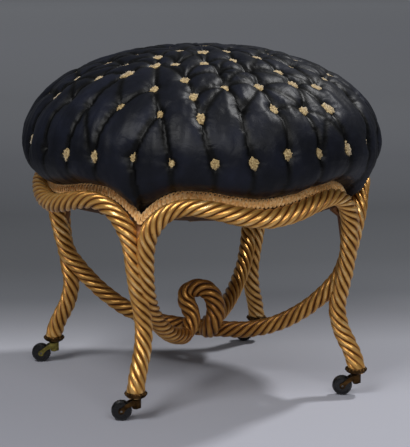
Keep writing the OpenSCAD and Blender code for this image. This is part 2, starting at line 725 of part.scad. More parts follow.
module caster_fork(c) {
    inner = wheel_w / 2 + fork_gap;
    color("darkgoldenrod") at_caster(c) difference() {
        union() {
            translate([0, 0, boss_bottom]) cylinder(r = boss_r, h = boss_top - boss_bottom, $fn = 48);
            for (s = [-1, 1]) translate([0, s * (inner + arm_t / 2), 0]) rotate([90, 0, 0])
                translate([0, 0, -arm_t / 2]) linear_extrude(arm_t) fork_side();
            translate([0, -inner - arm_t, boss_bottom + 4.5]) cube([boss_r * 0.7, 2 * (inner + arm_t), boss_top - boss_bottom - 4.5]);
        }
        translate([trail, 0, axle_z]) rotate([90, 0, 0])
            cylinder(r = wheel_d / 2 + 1, h = 2 * inner, center = true, $fn = 72);
        translate([trail, 0, axle_z]) rotate([90, 0, 0])
            cylinder(d = axle_d, h = 4 * inner, center = true, $fn = 32);
        translate([0, 0, boss_bottom - 1]) cylinder(d = pin_d + bore_play, h = boss_top - boss_bottom + 2, $fn = 48);
    }
}
module fork_side() {
    hub = 4;
    difference() {
        union() {
            hull() {
                translate([boss_r * 0.35, boss_top - 3.5]) circle(r = 3.5, $fn = 32);
                translate([trail * 0.62, axle_z + 7.2]) circle(r = 2.6, $fn = 32);
            }
            hull() {
                translate([trail * 0.62, axle_z + 7.2]) circle(r = 2.6, $fn = 32);
                translate([trail, axle_z]) circle(r = hub * 0.75, $fn = 32);
            }
            translate([trail, axle_z]) circle(r = hub, $fn = 40);
        }
    }
}
module caster_axle(c) {
    inner = wheel_w / 2 + fork_gap;
    color("gray") at_caster(c) translate([trail, 0, axle_z]) rotate([90, 0, 0])
        cylinder(d = axle_d, h = 2 * (inner + arm_t), center = true, $fn = 32);
}
module caster_wheel(c) {
    color("black") at_caster(c) translate([trail, 0, axle_z]) rotate([90, 0, 0])
        rotate_extrude($fn = 64) polygon([
            [axle_d / 2 + bore_play / 2, -wheel_w / 2], [wheel_d / 2 - 5, -wheel_w / 2],
            [wheel_d / 2 - 2.4, -wheel_w / 2 + 0.6], [wheel_d / 2 - 0.5, -wheel_w / 2 + 2.6],
            [wheel_d / 2, 0], [wheel_d / 2 - 0.5, wheel_w / 2 - 2.6],
            [wheel_d / 2 - 2.4, wheel_w / 2 - 0.6], [wheel_d / 2 - 5, wheel_w / 2],
            [axle_d / 2 + bore_play / 2, wheel_w / 2]]);
}

// Leg and caster corners are counted from the front left, against the clock seen from above
leg(0);  // leg_front_left
leg(1);  // leg_front_right
leg(2);  // leg_back_right
leg(3);  // leg_back_left
rope_rail(0);  // rope_rail_front
rope_rail(1);  // rope_rail_right
rope_rail(2);  // rope_rail_back
rope_rail(3);  // rope_rail_left
stretcher_arm(0);  // stretcher_arm_front_left
stretcher_arm(1);  // stretcher_arm_front_right
stretcher_arm(2);  // stretcher_arm_back_right
stretcher_arm(3);  // stretcher_arm_back_left
stretcher_knot();
seat_rail(0);  // seat_rail_front
seat_rail(1);  // seat_rail_right
seat_rail(2);  // seat_rail_back
seat_rail(3);  // seat_rail_left
corner_brace(0);  // brace_front_left
corner_brace(1);  // brace_front_right
corner_brace(2);  // brace_back_right
corner_brace(3);  // brace_back_left
webbing_across();
webbing_along();
springs();
hessian();
hair_pad();
cushion_cover();
buttons_top();
buttons_side();
gimp(0);  // gimp_front
gimp(1);  // gimp_right
gimp(2);  // gimp_back
gimp(3);  // gimp_left
caster_cup(0);  // caster_cup_front_left
caster_cup(1);  // caster_cup_front_right
caster_cup(2);  // caster_cup_back_right
caster_cup(3);  // caster_cup_back_left
caster_fork(0);  // caster_fork_front_left
caster_fork(1);  // caster_fork_front_right
caster_fork(2);  // caster_fork_back_right
caster_fork(3);  // caster_fork_back_left
caster_axle(0);  // caster_axle_front_left
caster_axle(1);  // caster_axle_front_right
caster_axle(2);  // caster_axle_back_right
caster_axle(3);  // caster_axle_back_left
caster_wheel(0);  // caster_wheel_front_left
caster_wheel(1);  // caster_wheel_front_right
caster_wheel(2);  // caster_wheel_back_right
caster_wheel(3);  // caster_wheel_back_left
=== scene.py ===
"""Gilt stool carved as rope, with a deep-buttoned satin cushion, on four swivel casters."""

import math

import bpy
import numpy as np
from mathutils import Matrix, Vector, kdtree, noise


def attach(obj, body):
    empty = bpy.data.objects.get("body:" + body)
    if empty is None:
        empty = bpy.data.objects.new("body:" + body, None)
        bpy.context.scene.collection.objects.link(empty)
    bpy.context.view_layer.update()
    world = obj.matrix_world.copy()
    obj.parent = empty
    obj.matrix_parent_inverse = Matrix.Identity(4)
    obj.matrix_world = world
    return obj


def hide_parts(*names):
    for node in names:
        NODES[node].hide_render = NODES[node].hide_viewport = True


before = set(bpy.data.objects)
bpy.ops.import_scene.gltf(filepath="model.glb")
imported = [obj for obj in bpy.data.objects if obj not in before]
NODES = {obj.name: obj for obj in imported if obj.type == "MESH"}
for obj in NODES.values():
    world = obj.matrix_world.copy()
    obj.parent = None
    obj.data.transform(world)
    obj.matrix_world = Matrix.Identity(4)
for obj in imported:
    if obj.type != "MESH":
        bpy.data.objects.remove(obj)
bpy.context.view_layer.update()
MM = 0.001
CORNERS = ("front_left", "front_right", "back_right", "back_left")
SIDES = ("front", "right", "back", "left")

# Sizes of the stool, in millimetres, with turns in degrees. A name that ends in Z is a height
# above the floor, in R a radius, in D a diameter, and in H, W or T a height, width or thickness
CROWN_Z, BELLY_Z, CUSHION_OVER, DOME_POWER = 478.0, 345.0, 24.5, 2.1
BUTTON_PULL, BUTTON_D = 12.0, 12.0
SATIN_T, SATIN_ROOM, SOFT_GAP = 1.4, 0.65, 0.3
RAIL_R, SHOULDER_R = 13.2, 11.8
CREST_Z, RAIL_DIP, CREST_TURN = 289.7, 17.5, 27.5
SEAT_RAIL_Z, SEAT_RAIL_H, HEAD_W, HEAD_DEPTH = 270.0, 30.0, 44.0, 32.0
FOOT_REACH, WAIST_REACH, WAIST_Z = 233.0, 204.5, 120.0
HIP_REACH, HIP_Z, HIP_SPREAD, HIP_R = 225.0, 257.0, 18.0, 13.2
LEG_R, ARM_R = 12.25, 11.75
KNOT_Z, KNOT_REACH, LOOP_AT, LOOP_H, LOOP_HALF = 77.5, 68.0, 10.25, 61.0, 19.0
STRANDS, LAY, GROOVE = 6, 84.0, 0.24
FADE_Z, FADE_H = 30.0, 26.0
CUP_FLOOR_Z, CUP_DEPTH = 33.5, 6.0
GIMP_H, GIMP_T, GIMP_OVER, GIMP_DIP, GIMP_TIP = 11.0, 2.0, 19.3, 13.5, 18.0
WEB_W, WEB_T, WEB_PITCH = 50.0, 1.6, 72.0
SPRING_H, WIRE_D, SPRING_AT, SPRING_D = 46.0, 3.4, 48.0, 62.0

# The ring on which the rope rails' axes lie, and what stands inside it
RING_R = math.hypot(HIP_REACH, HIP_SPREAD)
HIP_TURN = 45 - math.degrees(math.atan(HIP_SPREAD / HIP_REACH))
BOARD_OUT = RING_R - RAIL_R - SOFT_GAP
BOARD_TOP = SEAT_RAIL_Z + SEAT_RAIL_H
CUSHION_R = RING_R + CUSHION_OVER
GIMP_R = BOARD_OUT + SATIN_ROOM + SATIN_T + SOFT_GAP + GIMP_T / 2
SKIRT_R = GIMP_R - GIMP_T / 2 - SOFT_GAP

# How fine the ropes are: steps from one point of a line to the next, millimetres from ring to
# ring, points across a strand, and the turn in radians past which two faces meet sharply
CURVE_STEPS, ROPE_STEP, PER_STRAND, SHARP_TURN = 20, 2.2, 8, 1.2


# Small helpers
def linear(code):
    """sRGB hex to a linear colour."""
    values = [int(code[i : i + 2], 16) / 255 for i in (1, 3, 5)]
    return [c / 12.92 if c <= 0.04045 else ((c + 0.055) / 1.055) ** 2.4 for c in values] + [1.0]


def feed(tree, node, inputs):
    """Give each of a node's inputs a link or a value."""
    for key, value in inputs.items():
        if isinstance(value, bpy.types.NodeSocket):
            tree.links.new(value, node.inputs[key])
        else:
            node.inputs[key].default_value = value


def add(tree, kind, inputs=None, stops=(), **settings):
    """Add a node with its settings, the colours of its ramp where it has one, and its inputs."""
    node = tree.nodes.new(kind)
    for key, value in settings.items():
        setattr(node, key, value)
    if stops:
        elements = node.color_ramp.elements
        while len(elements) < len(stops):
            elements.new(0.5)
        for element, (at, colour) in zip(elements, stops):
            element.position = at
            element.color = linear(colour)
    feed(tree, node, inputs or {})
    return node


def finish_of(name):
    """A new material with its tree and its shader."""
    made = bpy.data.materials.new(name)
    made.use_nodes = True
    tree = made.node_tree
    return made, tree, tree.nodes["Principled BSDF"]


def per_metre(size):
    """The scale of a pattern whose forms are this many millimetres across."""
    return 1 / (size * MM)


def wave_scale(pitch):
    """The scale of a wave pattern whose bands are this many millimetres apart."""
    return math.pi / (10 * pitch * MM)


def placed(name, data):
    """A new object at the scene's origin."""
    made = bpy.data.objects.new(name, data)
    bpy.context.scene.collection.objects.link(made)
    return made


def mesh_of(name, points, edges, faces):
    """A mesh from points in millimetres."""
    mesh = bpy.data.meshes.new(name)
    mesh.from_pydata([tuple(p) for p in np.asarray(points) * MM], edges, faces)
    mesh.update()
    return mesh


def mesh_piece(name, points, faces, material, smooth=True, uvs=None, values=None):
    """A mesh object from points in millimetres, with the UV map and the values given for it."""
    mesh = mesh_of(name, points, [], faces)
    if uvs is not None:
        layer = mesh.uv_layers.new(name="along")
        layer.data.foreach_set("uv", np.asarray(uvs, np.float32).ravel())
    for key, data in (values or {}).items():
        attribute = mesh.attributes.new(key, "FLOAT", "POINT")
        attribute.data.foreach_set("value", np.asarray(data, np.float32))
    mesh.polygons.foreach_set("use_smooth", [smooth] * len(mesh.polygons))
    if values and "hollow" in values:
        mesh.set_sharp_from_angle(angle=SHARP_TURN)
    mesh.materials.append(material)
    return placed(name, mesh)


def joined(pieces, name):
    """Several pieces made one object."""
    bpy.ops.object.select_all(action="DESELECT")
    for piece in pieces:
        piece.select_set(True)
    bpy.context.view_layer.objects.active = pieces[0]
    bpy.ops.object.join()
    pieces[0].name = name
    return pieces[0]


def bands(rings, count, first=0, downward=False):
    """The faces between rings of points that follow one another up a form, or down it."""
    faces = []
    for start in range(first, first + (rings - 1) * count, count):
        for i in range(count):
            a, b = start + i, start + (i + 1) % count
            faces.append((a, a + count, b + count, b) if downward else (a, b, b + count, a + count))
    return faces


def caps(rings, count):
    """The flat ends of a form made of rings."""
    return [tuple(range(count - 1, -1, -1)), tuple(range((rings - 1) * count, rings * count))]


# The ropes' paths
def unit(v):
    """The same way, one long."""
    return v / np.linalg.norm(v)


def turn(points, degrees):
    """Points turned round the stool's upright axis."""
    a = math.radians(degrees)
    out = np.array(points, float)
    out[..., 0] = points[..., 0] * math.cos(a) - points[..., 1] * math.sin(a)
    out[..., 1] = points[..., 0] * math.sin(a) + points[..., 1] * math.cos(a)
    return out


def at_corner(corner, reach, side, z):
    """A point at a distance from the middle towards a leg, and at a distance to the side of that."""
    a = math.radians(corner * 90 - 135)
    return [reach * math.cos(a) - side * math.sin(a), reach * math.sin(a) + side * math.cos(a), z]


def on_ring(radius, degrees, z):
    """Points on a ring round the stool's middle, turned from the middle of the front."""
    a = np.radians(degrees)
    return np.stack(np.broadcast_arrays(radius * np.sin(a), -radius * np.cos(a), z), -1)


# How steeply the seat ropes and the gimp fall from their crests to the corners
RAIL_FALL, GIMP_FALL = 2.3, 2.2


def waved(degrees, crest, dip, end, tip, power):
    """Height of a line that waves along a rail and falls towards the corners."""
    a = np.abs(np.asarray(degrees, float))
    middle = crest - dip * (1 + np.cos(np.pi * a / CREST_TURN)) / 2
    fall = crest - (crest - tip) * (np.maximum(a - CREST_TURN, 0) / (end - CREST_TURN)) ** power
    return np.where(a <= CREST_TURN, middle, fall)


def rail_z(degrees):
    """Height of a seat rope's axis."""
    return waved(degrees, CREST_Z, RAIL_DIP, HIP_TURN, HIP_Z, RAIL_FALL)


def gimp_top(degrees):
    """Height of the gimp's upper edge."""
    return waved(degrees, CREST_Z + GIMP_OVER, GIMP_DIP, 45.0, HIP_Z + GIMP_TIP, GIMP_FALL)


# Where an arm comes down to the knot: millimetres before it, height above it, and slope
APPROACH, APPROACH_RISE, ARM_SLOPE = 24.0, 5.5, 0.12
# Points of the arm's line that still lie on the leg
ARM_ON_LEG = 5


def rope_line():
    """A rope's points with their radii, from foot to knot, and the numbers of those where it is cut."""
    drop, swell = FOOT_REACH - WAIST_REACH, HIP_REACH - WAIST_REACH
    foot = [
        (FOOT_REACH, 0, CUP_FLOOR_Z + 0.5),
        (FOOT_REACH, 0, CUP_FLOOR_Z + 8),
        (FOOT_REACH - 0.25 * drop, 0, CUP_FLOOR_Z + 28.5),
        (WAIST_REACH + 0.21 * drop, 0, WAIST_Z - 28),
        (WAIST_REACH, 0.05, WAIST_Z),
        (WAIST_REACH + 0.2 * swell, 0.14, WAIST_Z + 26),
        (WAIST_REACH + 0.54 * swell, 0.28, WAIST_Z + 55),
        (WAIST_REACH + 0.79 * swell, 0.41, HIP_Z - 53),
        (WAIST_REACH + 0.9 * swell, 0.56, HIP_Z - 25),
    ]
    arm = [
        (WAIST_REACH + 0.88 * swell, 0.56, HIP_Z - 25),
        (WAIST_REACH + 0.66 * swell, 0.41, HIP_Z - 51),
        (WAIST_REACH + 0.37 * swell, 0.31, WAIST_Z + 62),
        (WAIST_REACH - 1.5, 0.22, WAIST_Z + 42),
        (WAIST_REACH - 14.5, 0.11, WAIST_Z + 26),
        (WAIST_REACH - 29.5, 0.03, WAIST_Z + 11),
        (WAIST_REACH - 54.5, 0, WAIST_Z - 9),
        (WAIST_REACH - 84.5, 0, WAIST_Z - 26.5),
        (KNOT_REACH + APPROACH, 0, KNOT_Z + APPROACH_RISE),
        (KNOT_REACH, 0, KNOT_Z),
        (KNOT_REACH - 12, 0, KNOT_Z - 1.5),
    ]
    rail_shares = (-0.87, -0.7, -0.5, -0.25, 0, 0.25, 0.5, 0.7, 0.87)
    parting = (LEG_R + HIP_R) / 2
    line = []
    for i, (reach, spread, z) in enumerate(foot):
        radius = parting if i == len(foot) - 1 else LEG_R
        line.append(at_corner(1, reach, -HIP_SPREAD * spread, z) + [radius])
    first_hip = len(line)
    line.append(at_corner(1, HIP_REACH, -HIP_SPREAD, HIP_Z) + [HIP_R])
    for share in rail_shares:
        at = -share * HIP_TURN
        radius = np.interp(abs(share), [0.25, 0.7, 0.87, 1], [RAIL_R, SHOULDER_R, SHOULDER_R, HIP_R])
        line.append([*on_ring(RING_R, at, rail_z(at)), radius])
    second_hip = len(line)
    line.append(at_corner(0, HIP_REACH, HIP_SPREAD, HIP_Z) + [HIP_R])
    for i, (reach, spread, z) in enumerate(arm):
        radius = parting if i == 0 else LEG_R if i < ARM_ON_LEG else ARM_R
        line.append(at_corner(0, reach, HIP_SPREAD * spread, z) + [radius])
    return np.array(line), [0, first_hip, second_hip, second_hip + 1 + ARM_ON_LEG, len(line) - 2]


def curve(points, steps=CURVE_STEPS):
    """A smooth line through points, with the radius as a fourth number."""
    p = np.vstack([points[:1], points, points[-1:]])
    t = (np.arange(steps) / steps)[:, None]
    out = []
    for i in range(1, len(points)):
        a, b, c, d = p[i - 1], p[i], p[i + 1], p[i + 2]
        second, third = 2 * a - 5 * b + 4 * c - d, 3 * b - a - 3 * c + d
        out.append(0.5 * (2 * b + (c - a) * t + second * t**2 + third * t**3))
    return np.vstack(out + [points[-1:]])


def lengths(q):
    """Length along a line up to each of its points."""
    return np.concatenate([[0], np.cumsum(np.linalg.norm(np.diff(q[:, :3], axis=0), axis=1))])


def even(q, step):
    """The same line with its points at equal distances."""
    s = lengths(q)
    at = np.linspace(0, s[-1], max(2, round(s[-1] / step)) + 1)
    return np.stack([np.interp(at, s, q[:, i]) for i in range(q.shape[1])], axis=1)


def carried(q, first, ends=(None, None)):
    """Tangents and untwisted normals along a line, and the length up to each point."""
    d = np.gradient(q[:, :3], axis=0)
    t = d / np.linalg.norm(d, axis=1)[:, None]
    for i, end in ((0, ends[0]), (-1, ends[1])):
        if end is not None:
            t[i] = end
    n = np.zeros_like(t)
    last = np.asarray(first, float)
    for i in range(len(t)):
        last = unit(last - (last @ t[i]) * t[i])
        n[i] = last
    return t, n, lengths(q)


def knot_plane(corner):
    """The way that the arm of a corner points where it reaches the knot."""
    return unit(np.array(at_corner(corner, -1, 0, -ARM_SLOPE)))


def whole_rope():
    """One rope from its foot over its rail to the knot, with the places of its cuts."""
    points, cuts = rope_line()
    q = curve(points)
    parts = [even(q[a * CURVE_STEPS : b * CURVE_STEPS + 1], ROPE_STEP) for a, b in zip(cuts, cuts[1:])]
    line = np.vstack([parts[0]] + [part[1:] for part in parts[1:]])
    marks = np.cumsum([0] + [len(part) - 1 for part in parts])
    t, n, s = carried(line, (1, 1, 0), (None, knot_plane(0)))
    return {"q": line, "t": t, "n": n, "phase": -2 * np.pi * s / LAY, "s": s, "marks": marks}


ROPE = whole_rope()
# Where the leg's rope ends, the rail's rope ends, the arm's rope begins and the knot begins
LEG_END, RAIL_END, ARM_START, KNOT_START = ROPE["marks"][1:]

# The knot's two ropes, as places along one arm, across it, and above the knot's middle
KNOT_LOOP = [
    (-KNOT_REACH - APPROACH, 0, APPROACH_RISE),
    (-KNOT_REACH, 0, 0),
    (-57, -1, 0),
    (-47, 1.5, 8.5),
    (-42, 3.5, LOOP_H / 3),
    (-38, LOOP_AT - LOOP_HALF * 0.65, LOOP_H * 0.54),
    (-35, LOOP_AT - LOOP_HALF, LOOP_H * 0.74),
    (-31, LOOP_AT - LOOP_HALF * 0.88, LOOP_H * 0.91),
    (-26, 8, LOOP_H),
    (-22, LOOP_AT + LOOP_HALF * 0.62, LOOP_H * 0.9),
    (-20, LOOP_AT + LOOP_HALF, LOOP_H * 0.66),
    (-20, LOOP_AT + 1 + LOOP_HALF, LOOP_H * 0.41),
    (-21, 27, 11.5),
    (-16, 20, 0.5),
    (-2, 10, -3.5),
    (20, 2, -3.5),
    (44, 0, -2.5),
    (KNOT_REACH, 0, 0),
    (KNOT_REACH + APPROACH, 0, APPROACH_RISE),
]
KNOT_CROSS = [
    (0, -KNOT_REACH - APPROACH, APPROACH_RISE),
    (0, -KNOT_REACH, 0),
    (0, -34, -2.5),
    (0, 0, -3.5),
    (0, 34, -2.5),
    (0, KNOT_REACH, 0),
    (0, KNOT_REACH + APPROACH, APPROACH_RISE),
]
# How much thicker the standing loop is in its middle
LOOP_FULLER = 0.15


def knot_point(p):
    """A point of the knot, with its radius, in the stool's own axes."""
    turned = turn(np.array([p[0], -p[1], 0.0]), 45)
    return [turned[0], turned[1], KNOT_Z + p[2], ARM_R]


def knot_rope(points, start, end, fuller=0.0):
    """A rope of the knot between two corners, whose strands meet those of the arms at both ends."""
    q = curve(np.array([knot_point(p) for p in points]))
    q = even(q[CURVE_STEPS : len(q) - CURVE_STEPS], ROPE_STEP)
    q[:, 3] *= 1 + fuller * np.sin(np.linspace(0, np.pi, len(q))) ** 2
    first, last = (turn(ROPE["n"][-1], 90 * corner) for corner in (start, end))
    t, n, s = carried(q, first, (knot_plane(start), -knot_plane(end)))
    began = ROPE["phase"][-1]
    goal = math.atan2(last @ np.cross(t[-1], n[-1]), last @ n[-1]) - began
    laid = began - 2 * np.pi * s[-1] / LAY
    strand = 2 * np.pi / STRANDS
    final = goal + strand * round((laid - goal) / strand)
    phase = began + (final - began) * s / s[-1]
    return {"q": q, "t": t, "n": n, "phase": phase, "s": s}


# The ropes' surfaces

# How round a strand is, and the share of the groove's depth that stays above the caster cups
BULGE, FADED = 0.9, 0.45
# Swelling of a strand along its rope: share of the radius, radians in a millimetre, and from
# one strand to the next
UNEVEN = ((0.014, 0.105, 1.9), (0.012, 0.041, 2.7))
# The along coordinate counts the rope's length in steps of this many millimetres
ALONG_STEP = 10


def rope_piece(name, rope, start=0, stop=None, degrees=0):
    """Carved rope: six round strands laid left-handed, with deep grooves between them."""
    q, t, n, phase, s = (rope[key][start:stop] for key in ("q", "t", "n", "phase", "s"))
    rings, count = len(q), STRANDS * PER_STRAND
    j = np.arange(count)
    # Place across a strand, from -1 to 1
    x = 2 * ((j / PER_STRAND + 0.5) % 1 - 0.5)
    height = np.sqrt(1 - (BULGE * x) ** 2)
    hollow = (1 - height) / (1 - math.sqrt(1 - BULGE**2))
    angle = phase[:, None] + 2 * np.pi * j[None, :] / count
    # The carving grows shallow above the caster cup
    cut_in = GROOVE * np.clip((q[:, 2] - FADE_Z) / FADE_H, FADED, 1)[:, None]
    strand = j // PER_STRAND
    uneven = sum(size * np.sin(rate * s[:, None] + shift * strand) for size, rate, shift in UNEVEN)
    radius = q[:, 3][:, None] * (1 - cut_in * hollow + uneven * (1 - hollow))
    side = np.cross(t, n)
    out = np.cos(angle)[..., None] * n[:, None, :] + np.sin(angle)[..., None] * side[:, None, :]
    points = turn((q[:, None, :3] + radius[..., None] * out).reshape(-1, 3), degrees)
    i, k = np.meshgrid(np.arange(rings - 1), j, indexing="ij")
    u0, u1 = k / PER_STRAND, (k + 1) / PER_STRAND
    v0, v1 = s[i] / ALONG_STEP, s[i + 1] / ALONG_STEP
    uvs = np.stack([u0, v0, u1, v0, u1, v1, u0, v1], -1).reshape(-1, 2)
    uvs = np.vstack([uvs, np.zeros((2 * count, 2))])
    faces = bands(rings, count) + caps(rings, count)
    # How dark each point is drawn: red clay and painted shade, deepest in the grooves and less where the
    # carving grows shallow
    darkening = (hollow * (cut_in / GROOVE)).ravel()
    return mesh_piece(name, points, faces, GILT, uvs=uvs, values={"hollow": darkening})


# Materials
def gilt():
    """Water-gilt carved wood: burnished gold leaf on the strands, worn to red clay in the grooves, which are
    deepened with painted shade, as is the knot under the cushion.
    """
    made, tree, shader = finish_of("water_gilt_carved_wood")
    hollow = add(tree, "ShaderNodeAttribute", attribute_name="hollow")
    place = add(tree, "ShaderNodeTexCoord").outputs["Object"]
    patina = add(
        tree,
        "ShaderNodeTexNoise",
        {"Vector": place, "Scale": per_metre(26.3), "Detail": 5.0, "Roughness": 0.6},
    ).outputs["Fac"]
    # Marks of the carver's chisel, 27 across a strand and each some 13 mm long
    along = add(tree, "ShaderNodeUVMap", uv_map="along").outputs["UV"]
    marks = add(tree, "ShaderNodeMapping", {"Vector": along, "Scale": (9.0, 0.25, 1.0)}).outputs["Vector"]
    grain = add(tree, "ShaderNodeTexNoise", {"Vector": marks, "Scale": 3.0, "Detail": 3.0}).outputs["Fac"]
    # Painted shade: the knot in the middle lies in the cushion's shadow, so it is drawn browner (places in
    # metres)
    middle = add(tree, "ShaderNodeVectorMath", {0: place, 1: (0.0, 0.0, 0.13)}, operation="DISTANCE")
    reach = add(
        tree,
        "ShaderNodeMapRange",
        {"Value": middle.outputs["Value"], "From Min": 0.07, "From Max": 0.17, "To Min": 0.15, "To Max": 0.0},
    )
    # Darkening adds up: red clay and painted shade in the groove, painted shade on the knot under the
    # cushion, the patches of wear and the grain
    sunk = add(tree, "ShaderNodeMath", {0: hollow.outputs["Fac"], 1: 1.25}, operation="POWER").outputs[0]
    depth = reach.outputs["Result"]
    for part, share in ((sunk, 0.6), (patina, 0.42), (grain, 0.2)):
        terms = {0: part, 1: share, 2: depth}
        depth = add(tree, "ShaderNodeMath", terms, operation="MULTIPLY_ADD").outputs[0]
    tones = [(0.16, "#FCE0AA"), (0.32, "#DAA65A"), (0.52, "#A06C2E"), (0.76, "#673D1B"), (0.95, "#34180B")]
    colour = add(tree, "ShaderNodeValToRGB", {"Fac": depth}, tones)
    rough = add(
        tree,
        "ShaderNodeMapRange",
        {"Value": depth, "From Min": 0.1, "From Max": 0.9, "To Min": 0.22, "To Max": 0.5},
    )
    leaf = add(
        tree,
        "ShaderNodeMapRange",
        {"Value": depth, "From Min": 0.4, "From Max": 0.9, "To Min": 0.74, "To Max": 0.35},
    )
    relief = add(tree, "ShaderNodeBump", {"Height": grain, "Strength": 0.35, "Distance": 0.0006})
    inputs = {"Base Color": colour.outputs["Color"], "Roughness": rough.outputs["Result"]}
    inputs |= {"Metallic": leaf.outputs["Result"], "Normal": relief.outputs["Normal"]}
    feed(tree, shader, inputs)
    return made


def satin():
    """Silk satin, midnight blue, near black: a dull sheen on the puffs, and painted shade going to black in
    the tucks.
    """
    made, tree, shader = finish_of("silk_satin_midnight_blue")
    tuck_shade = add(tree, "ShaderNodeAttribute", attribute_name="tuck_shade")
    place = add(tree, "ShaderNodeTexCoord").outputs["Object"]
    cloudy = add(tree, "ShaderNodeTexNoise", {"Vector": place, "Scale": per_metre(45.45), "Detail": 3.0})
    creases = add(
        tree,
        "ShaderNodeTexNoise",
        {"Vector": place, "Scale": per_metre(16.67), "Detail": 4.0, "Distortion": 0.8},
    ).outputs["Fac"]
    # Painted shade: black in the tucks, at the buttons and on the turned-in satin, over random cloudy tones
    depth = add(
        tree,
        "ShaderNodeMath",
        {0: cloudy.outputs["Fac"], 1: 0.4, 2: tuck_shade.outputs["Fac"]},
        operation="MULTIPLY_ADD",
    )
    tones = [(0.05, "#191C29"), (0.2, "#0F1119"), (0.34, "#06070A"), (0.6, "#010101")]
    colour = add(tree, "ShaderNodeValToRGB", {"Fac": depth.outputs[0]}, tones)
    # Threads lie 0.2 mm apart, too fine to show, so the weave is drawn at 0.8 mm
    weave = add(
        tree,
        "ShaderNodeTexWave",
        {"Vector": place, "Scale": wave_scale(0.7854), "Distortion": 1.5, "Detail": 1.0},
        bands_direction="DIAGONAL",
    ).outputs["Fac"]
    soft = add(tree, "ShaderNodeBump", {"Height": creases, "Strength": 0.26, "Distance": 0.004})
    threads = {"Height": weave, "Normal": soft.outputs["Normal"], "Strength": 0.08, "Distance": 0.0003}
    fine = add(tree, "ShaderNodeBump", threads)
    feed(tree, shader, {"Base Color": colour.outputs["Color"], "Normal": fine.outputs["Normal"]})
    feed(tree, shader, {"Roughness": 0.45, "Specular IOR Level": 0.16})
    return made


def fibrous(name, size, detail, tones, bump, finish, stretch=(1.0, 1.0, 1.0)):
    """A material whose colour and relief follow one noise, its forms of a size in millimetres."""
    made, tree, shader = finish_of(name)
    place = add(tree, "ShaderNodeTexCoord").outputs["Object"]
    along = add(tree, "ShaderNodeMapping", {"Vector": place, "Scale": stretch}).outputs["Vector"]
    inputs = {"Vector": along, "Scale": per_metre(size), **detail}
    fibre = add(tree, "ShaderNodeTexNoise", inputs).outputs["Fac"]
    colour = add(tree, "ShaderNodeValToRGB", {"Fac": fibre}, tones)
    strength, distance = bump
    relief = add(tree, "ShaderNodeBump", {"Height": fibre, "Strength": strength, "Distance": distance})
    feed(tree, shader, {"Base Color": colour.outputs["Color"], "Normal": relief.outputs["Normal"], **finish})
    return made


def braid():
    """Silk gimp braid, old gold: rows of loops with a dull sheen, their twist 3.8 mm long."""
    tones = [(0.3, "#D09A52"), (0.5, "#EDBB77"), (0.75, "#FCE0AC")]
    finish = {"Roughness": 0.7, "Sheen Weight": 0.3}
    return fibrous("silk_gimp_old_gold", 3.846, {"Detail": 4.0}, tones, (0.4, 0.0006), finish)


def floss():
    """Floss-silk tufts, cream to old gold, with combed ends in locks of 2.4 mm."""
    tones = [(0.34, "#4A3618"), (0.5, "#957C4C"), (0.68, "#D0BC8C")]
    finish = {"Roughness": 0.75, "Sheen Weight": 0.3}
    detail = {"Detail": 5.0, "Roughness": 0.7}
    return fibrous("floss_silk_tuft_cream", 2.381, detail, tones, (0.8, 0.0012), finish)


def beech():
    """Planed beech, coloured dark brown, with flecks 18 mm by 2 mm."""
    tones = [(0.3, "#3A2414"), (0.55, "#5C3E24"), (0.8, "#76532F")]
    finish = {"Roughness": 0.62}
    stretch = (1.0, 1.0, 10.0)
    return fibrous("planed_beech_dark", 18.52, {"Detail": 6.0}, tones, (0.25, 0.0006), finish, stretch)


def woven(name, slub_size, pitch, tones):
    """Plain-woven bast cloth, its threads drawn at a pitch in millimetres, with slubs."""
    made, tree, shader = finish_of(name)
    place = add(tree, "ShaderNodeTexCoord").outputs["Object"]
    inputs = {"Vector": place, "Scale": wave_scale(pitch), "Distortion": 1.2, "Detail": 1.0}
    across = add(tree, "ShaderNodeTexWave", inputs, bands_direction="X").outputs["Fac"]
    along = add(tree, "ShaderNodeTexWave", inputs, bands_direction="Y").outputs["Fac"]
    slub = add(tree, "ShaderNodeTexNoise", {"Vector": place, "Scale": per_metre(slub_size), "Detail": 4.0})
    mixed = add(
        tree,
        "ShaderNodeMath",
        {0: across, 1: along, 2: slub.outputs["Fac"]},
        operation="MULTIPLY_ADD",
    )
    half = add(tree, "ShaderNodeMath", {0: mixed.outputs[0], 1: 0.55}, operation="MULTIPLY").outputs[0]
    colour = add(tree, "ShaderNodeValToRGB", {"Fac": half}, tones)
    relief = add(tree, "ShaderNodeBump", {"Height": half, "Strength": 0.6, "Distance": 0.0006})
    feed(tree, shader, {"Base Color": colour.outputs["Color"], "Normal": relief.outputs["Normal"]})
    feed(tree, shader, {"Roughness": 0.9})
    return made


def patchy(name, size, detail, tones, rough, metallic):
    """A hard material with patches of a size in millimetres, each of its own colour and polish."""
    made, tree, shader = finish_of(name)
    place = add(tree, "ShaderNodeTexCoord").outputs["Object"]
    inputs = {"Vector": place, "Scale": per_metre(size), "Detail": detail}
    patches = add(tree, "ShaderNodeTexNoise", inputs).outputs["Fac"]
    colour = add(tree, "ShaderNodeValToRGB", {"Fac": patches}, tones)
    rough_from, rough_to = rough
    polish = add(tree, "ShaderNodeMapRange", {"Value": patches, "To Min": rough_from, "To Max": rough_to})
    feed(tree, shader, {"Base Color": colour.outputs["Color"], "Roughness": polish.outputs["Result"]})
    feed(tree, shader, {"Metallic": metallic})
    return made


def metal(name, bright, dull, roughness):
    """Cast or drawn metal, tarnished dull in patches of 8 mm."""
    return patchy(name, 8.333, 5.0, [(0.35, dull), (0.65, bright)], (roughness + 0.2, roughness), 1.0)


def wheel_black():
    """Turned black composition, polished by use, with scuffs of 3 mm."""
    tones = [(0.4, "#030303"), (0.75, "#110F0E")]
    return patchy("turned_black_composition", 3.333, 4.0, tones, (0.2, 0.36), 0.0)


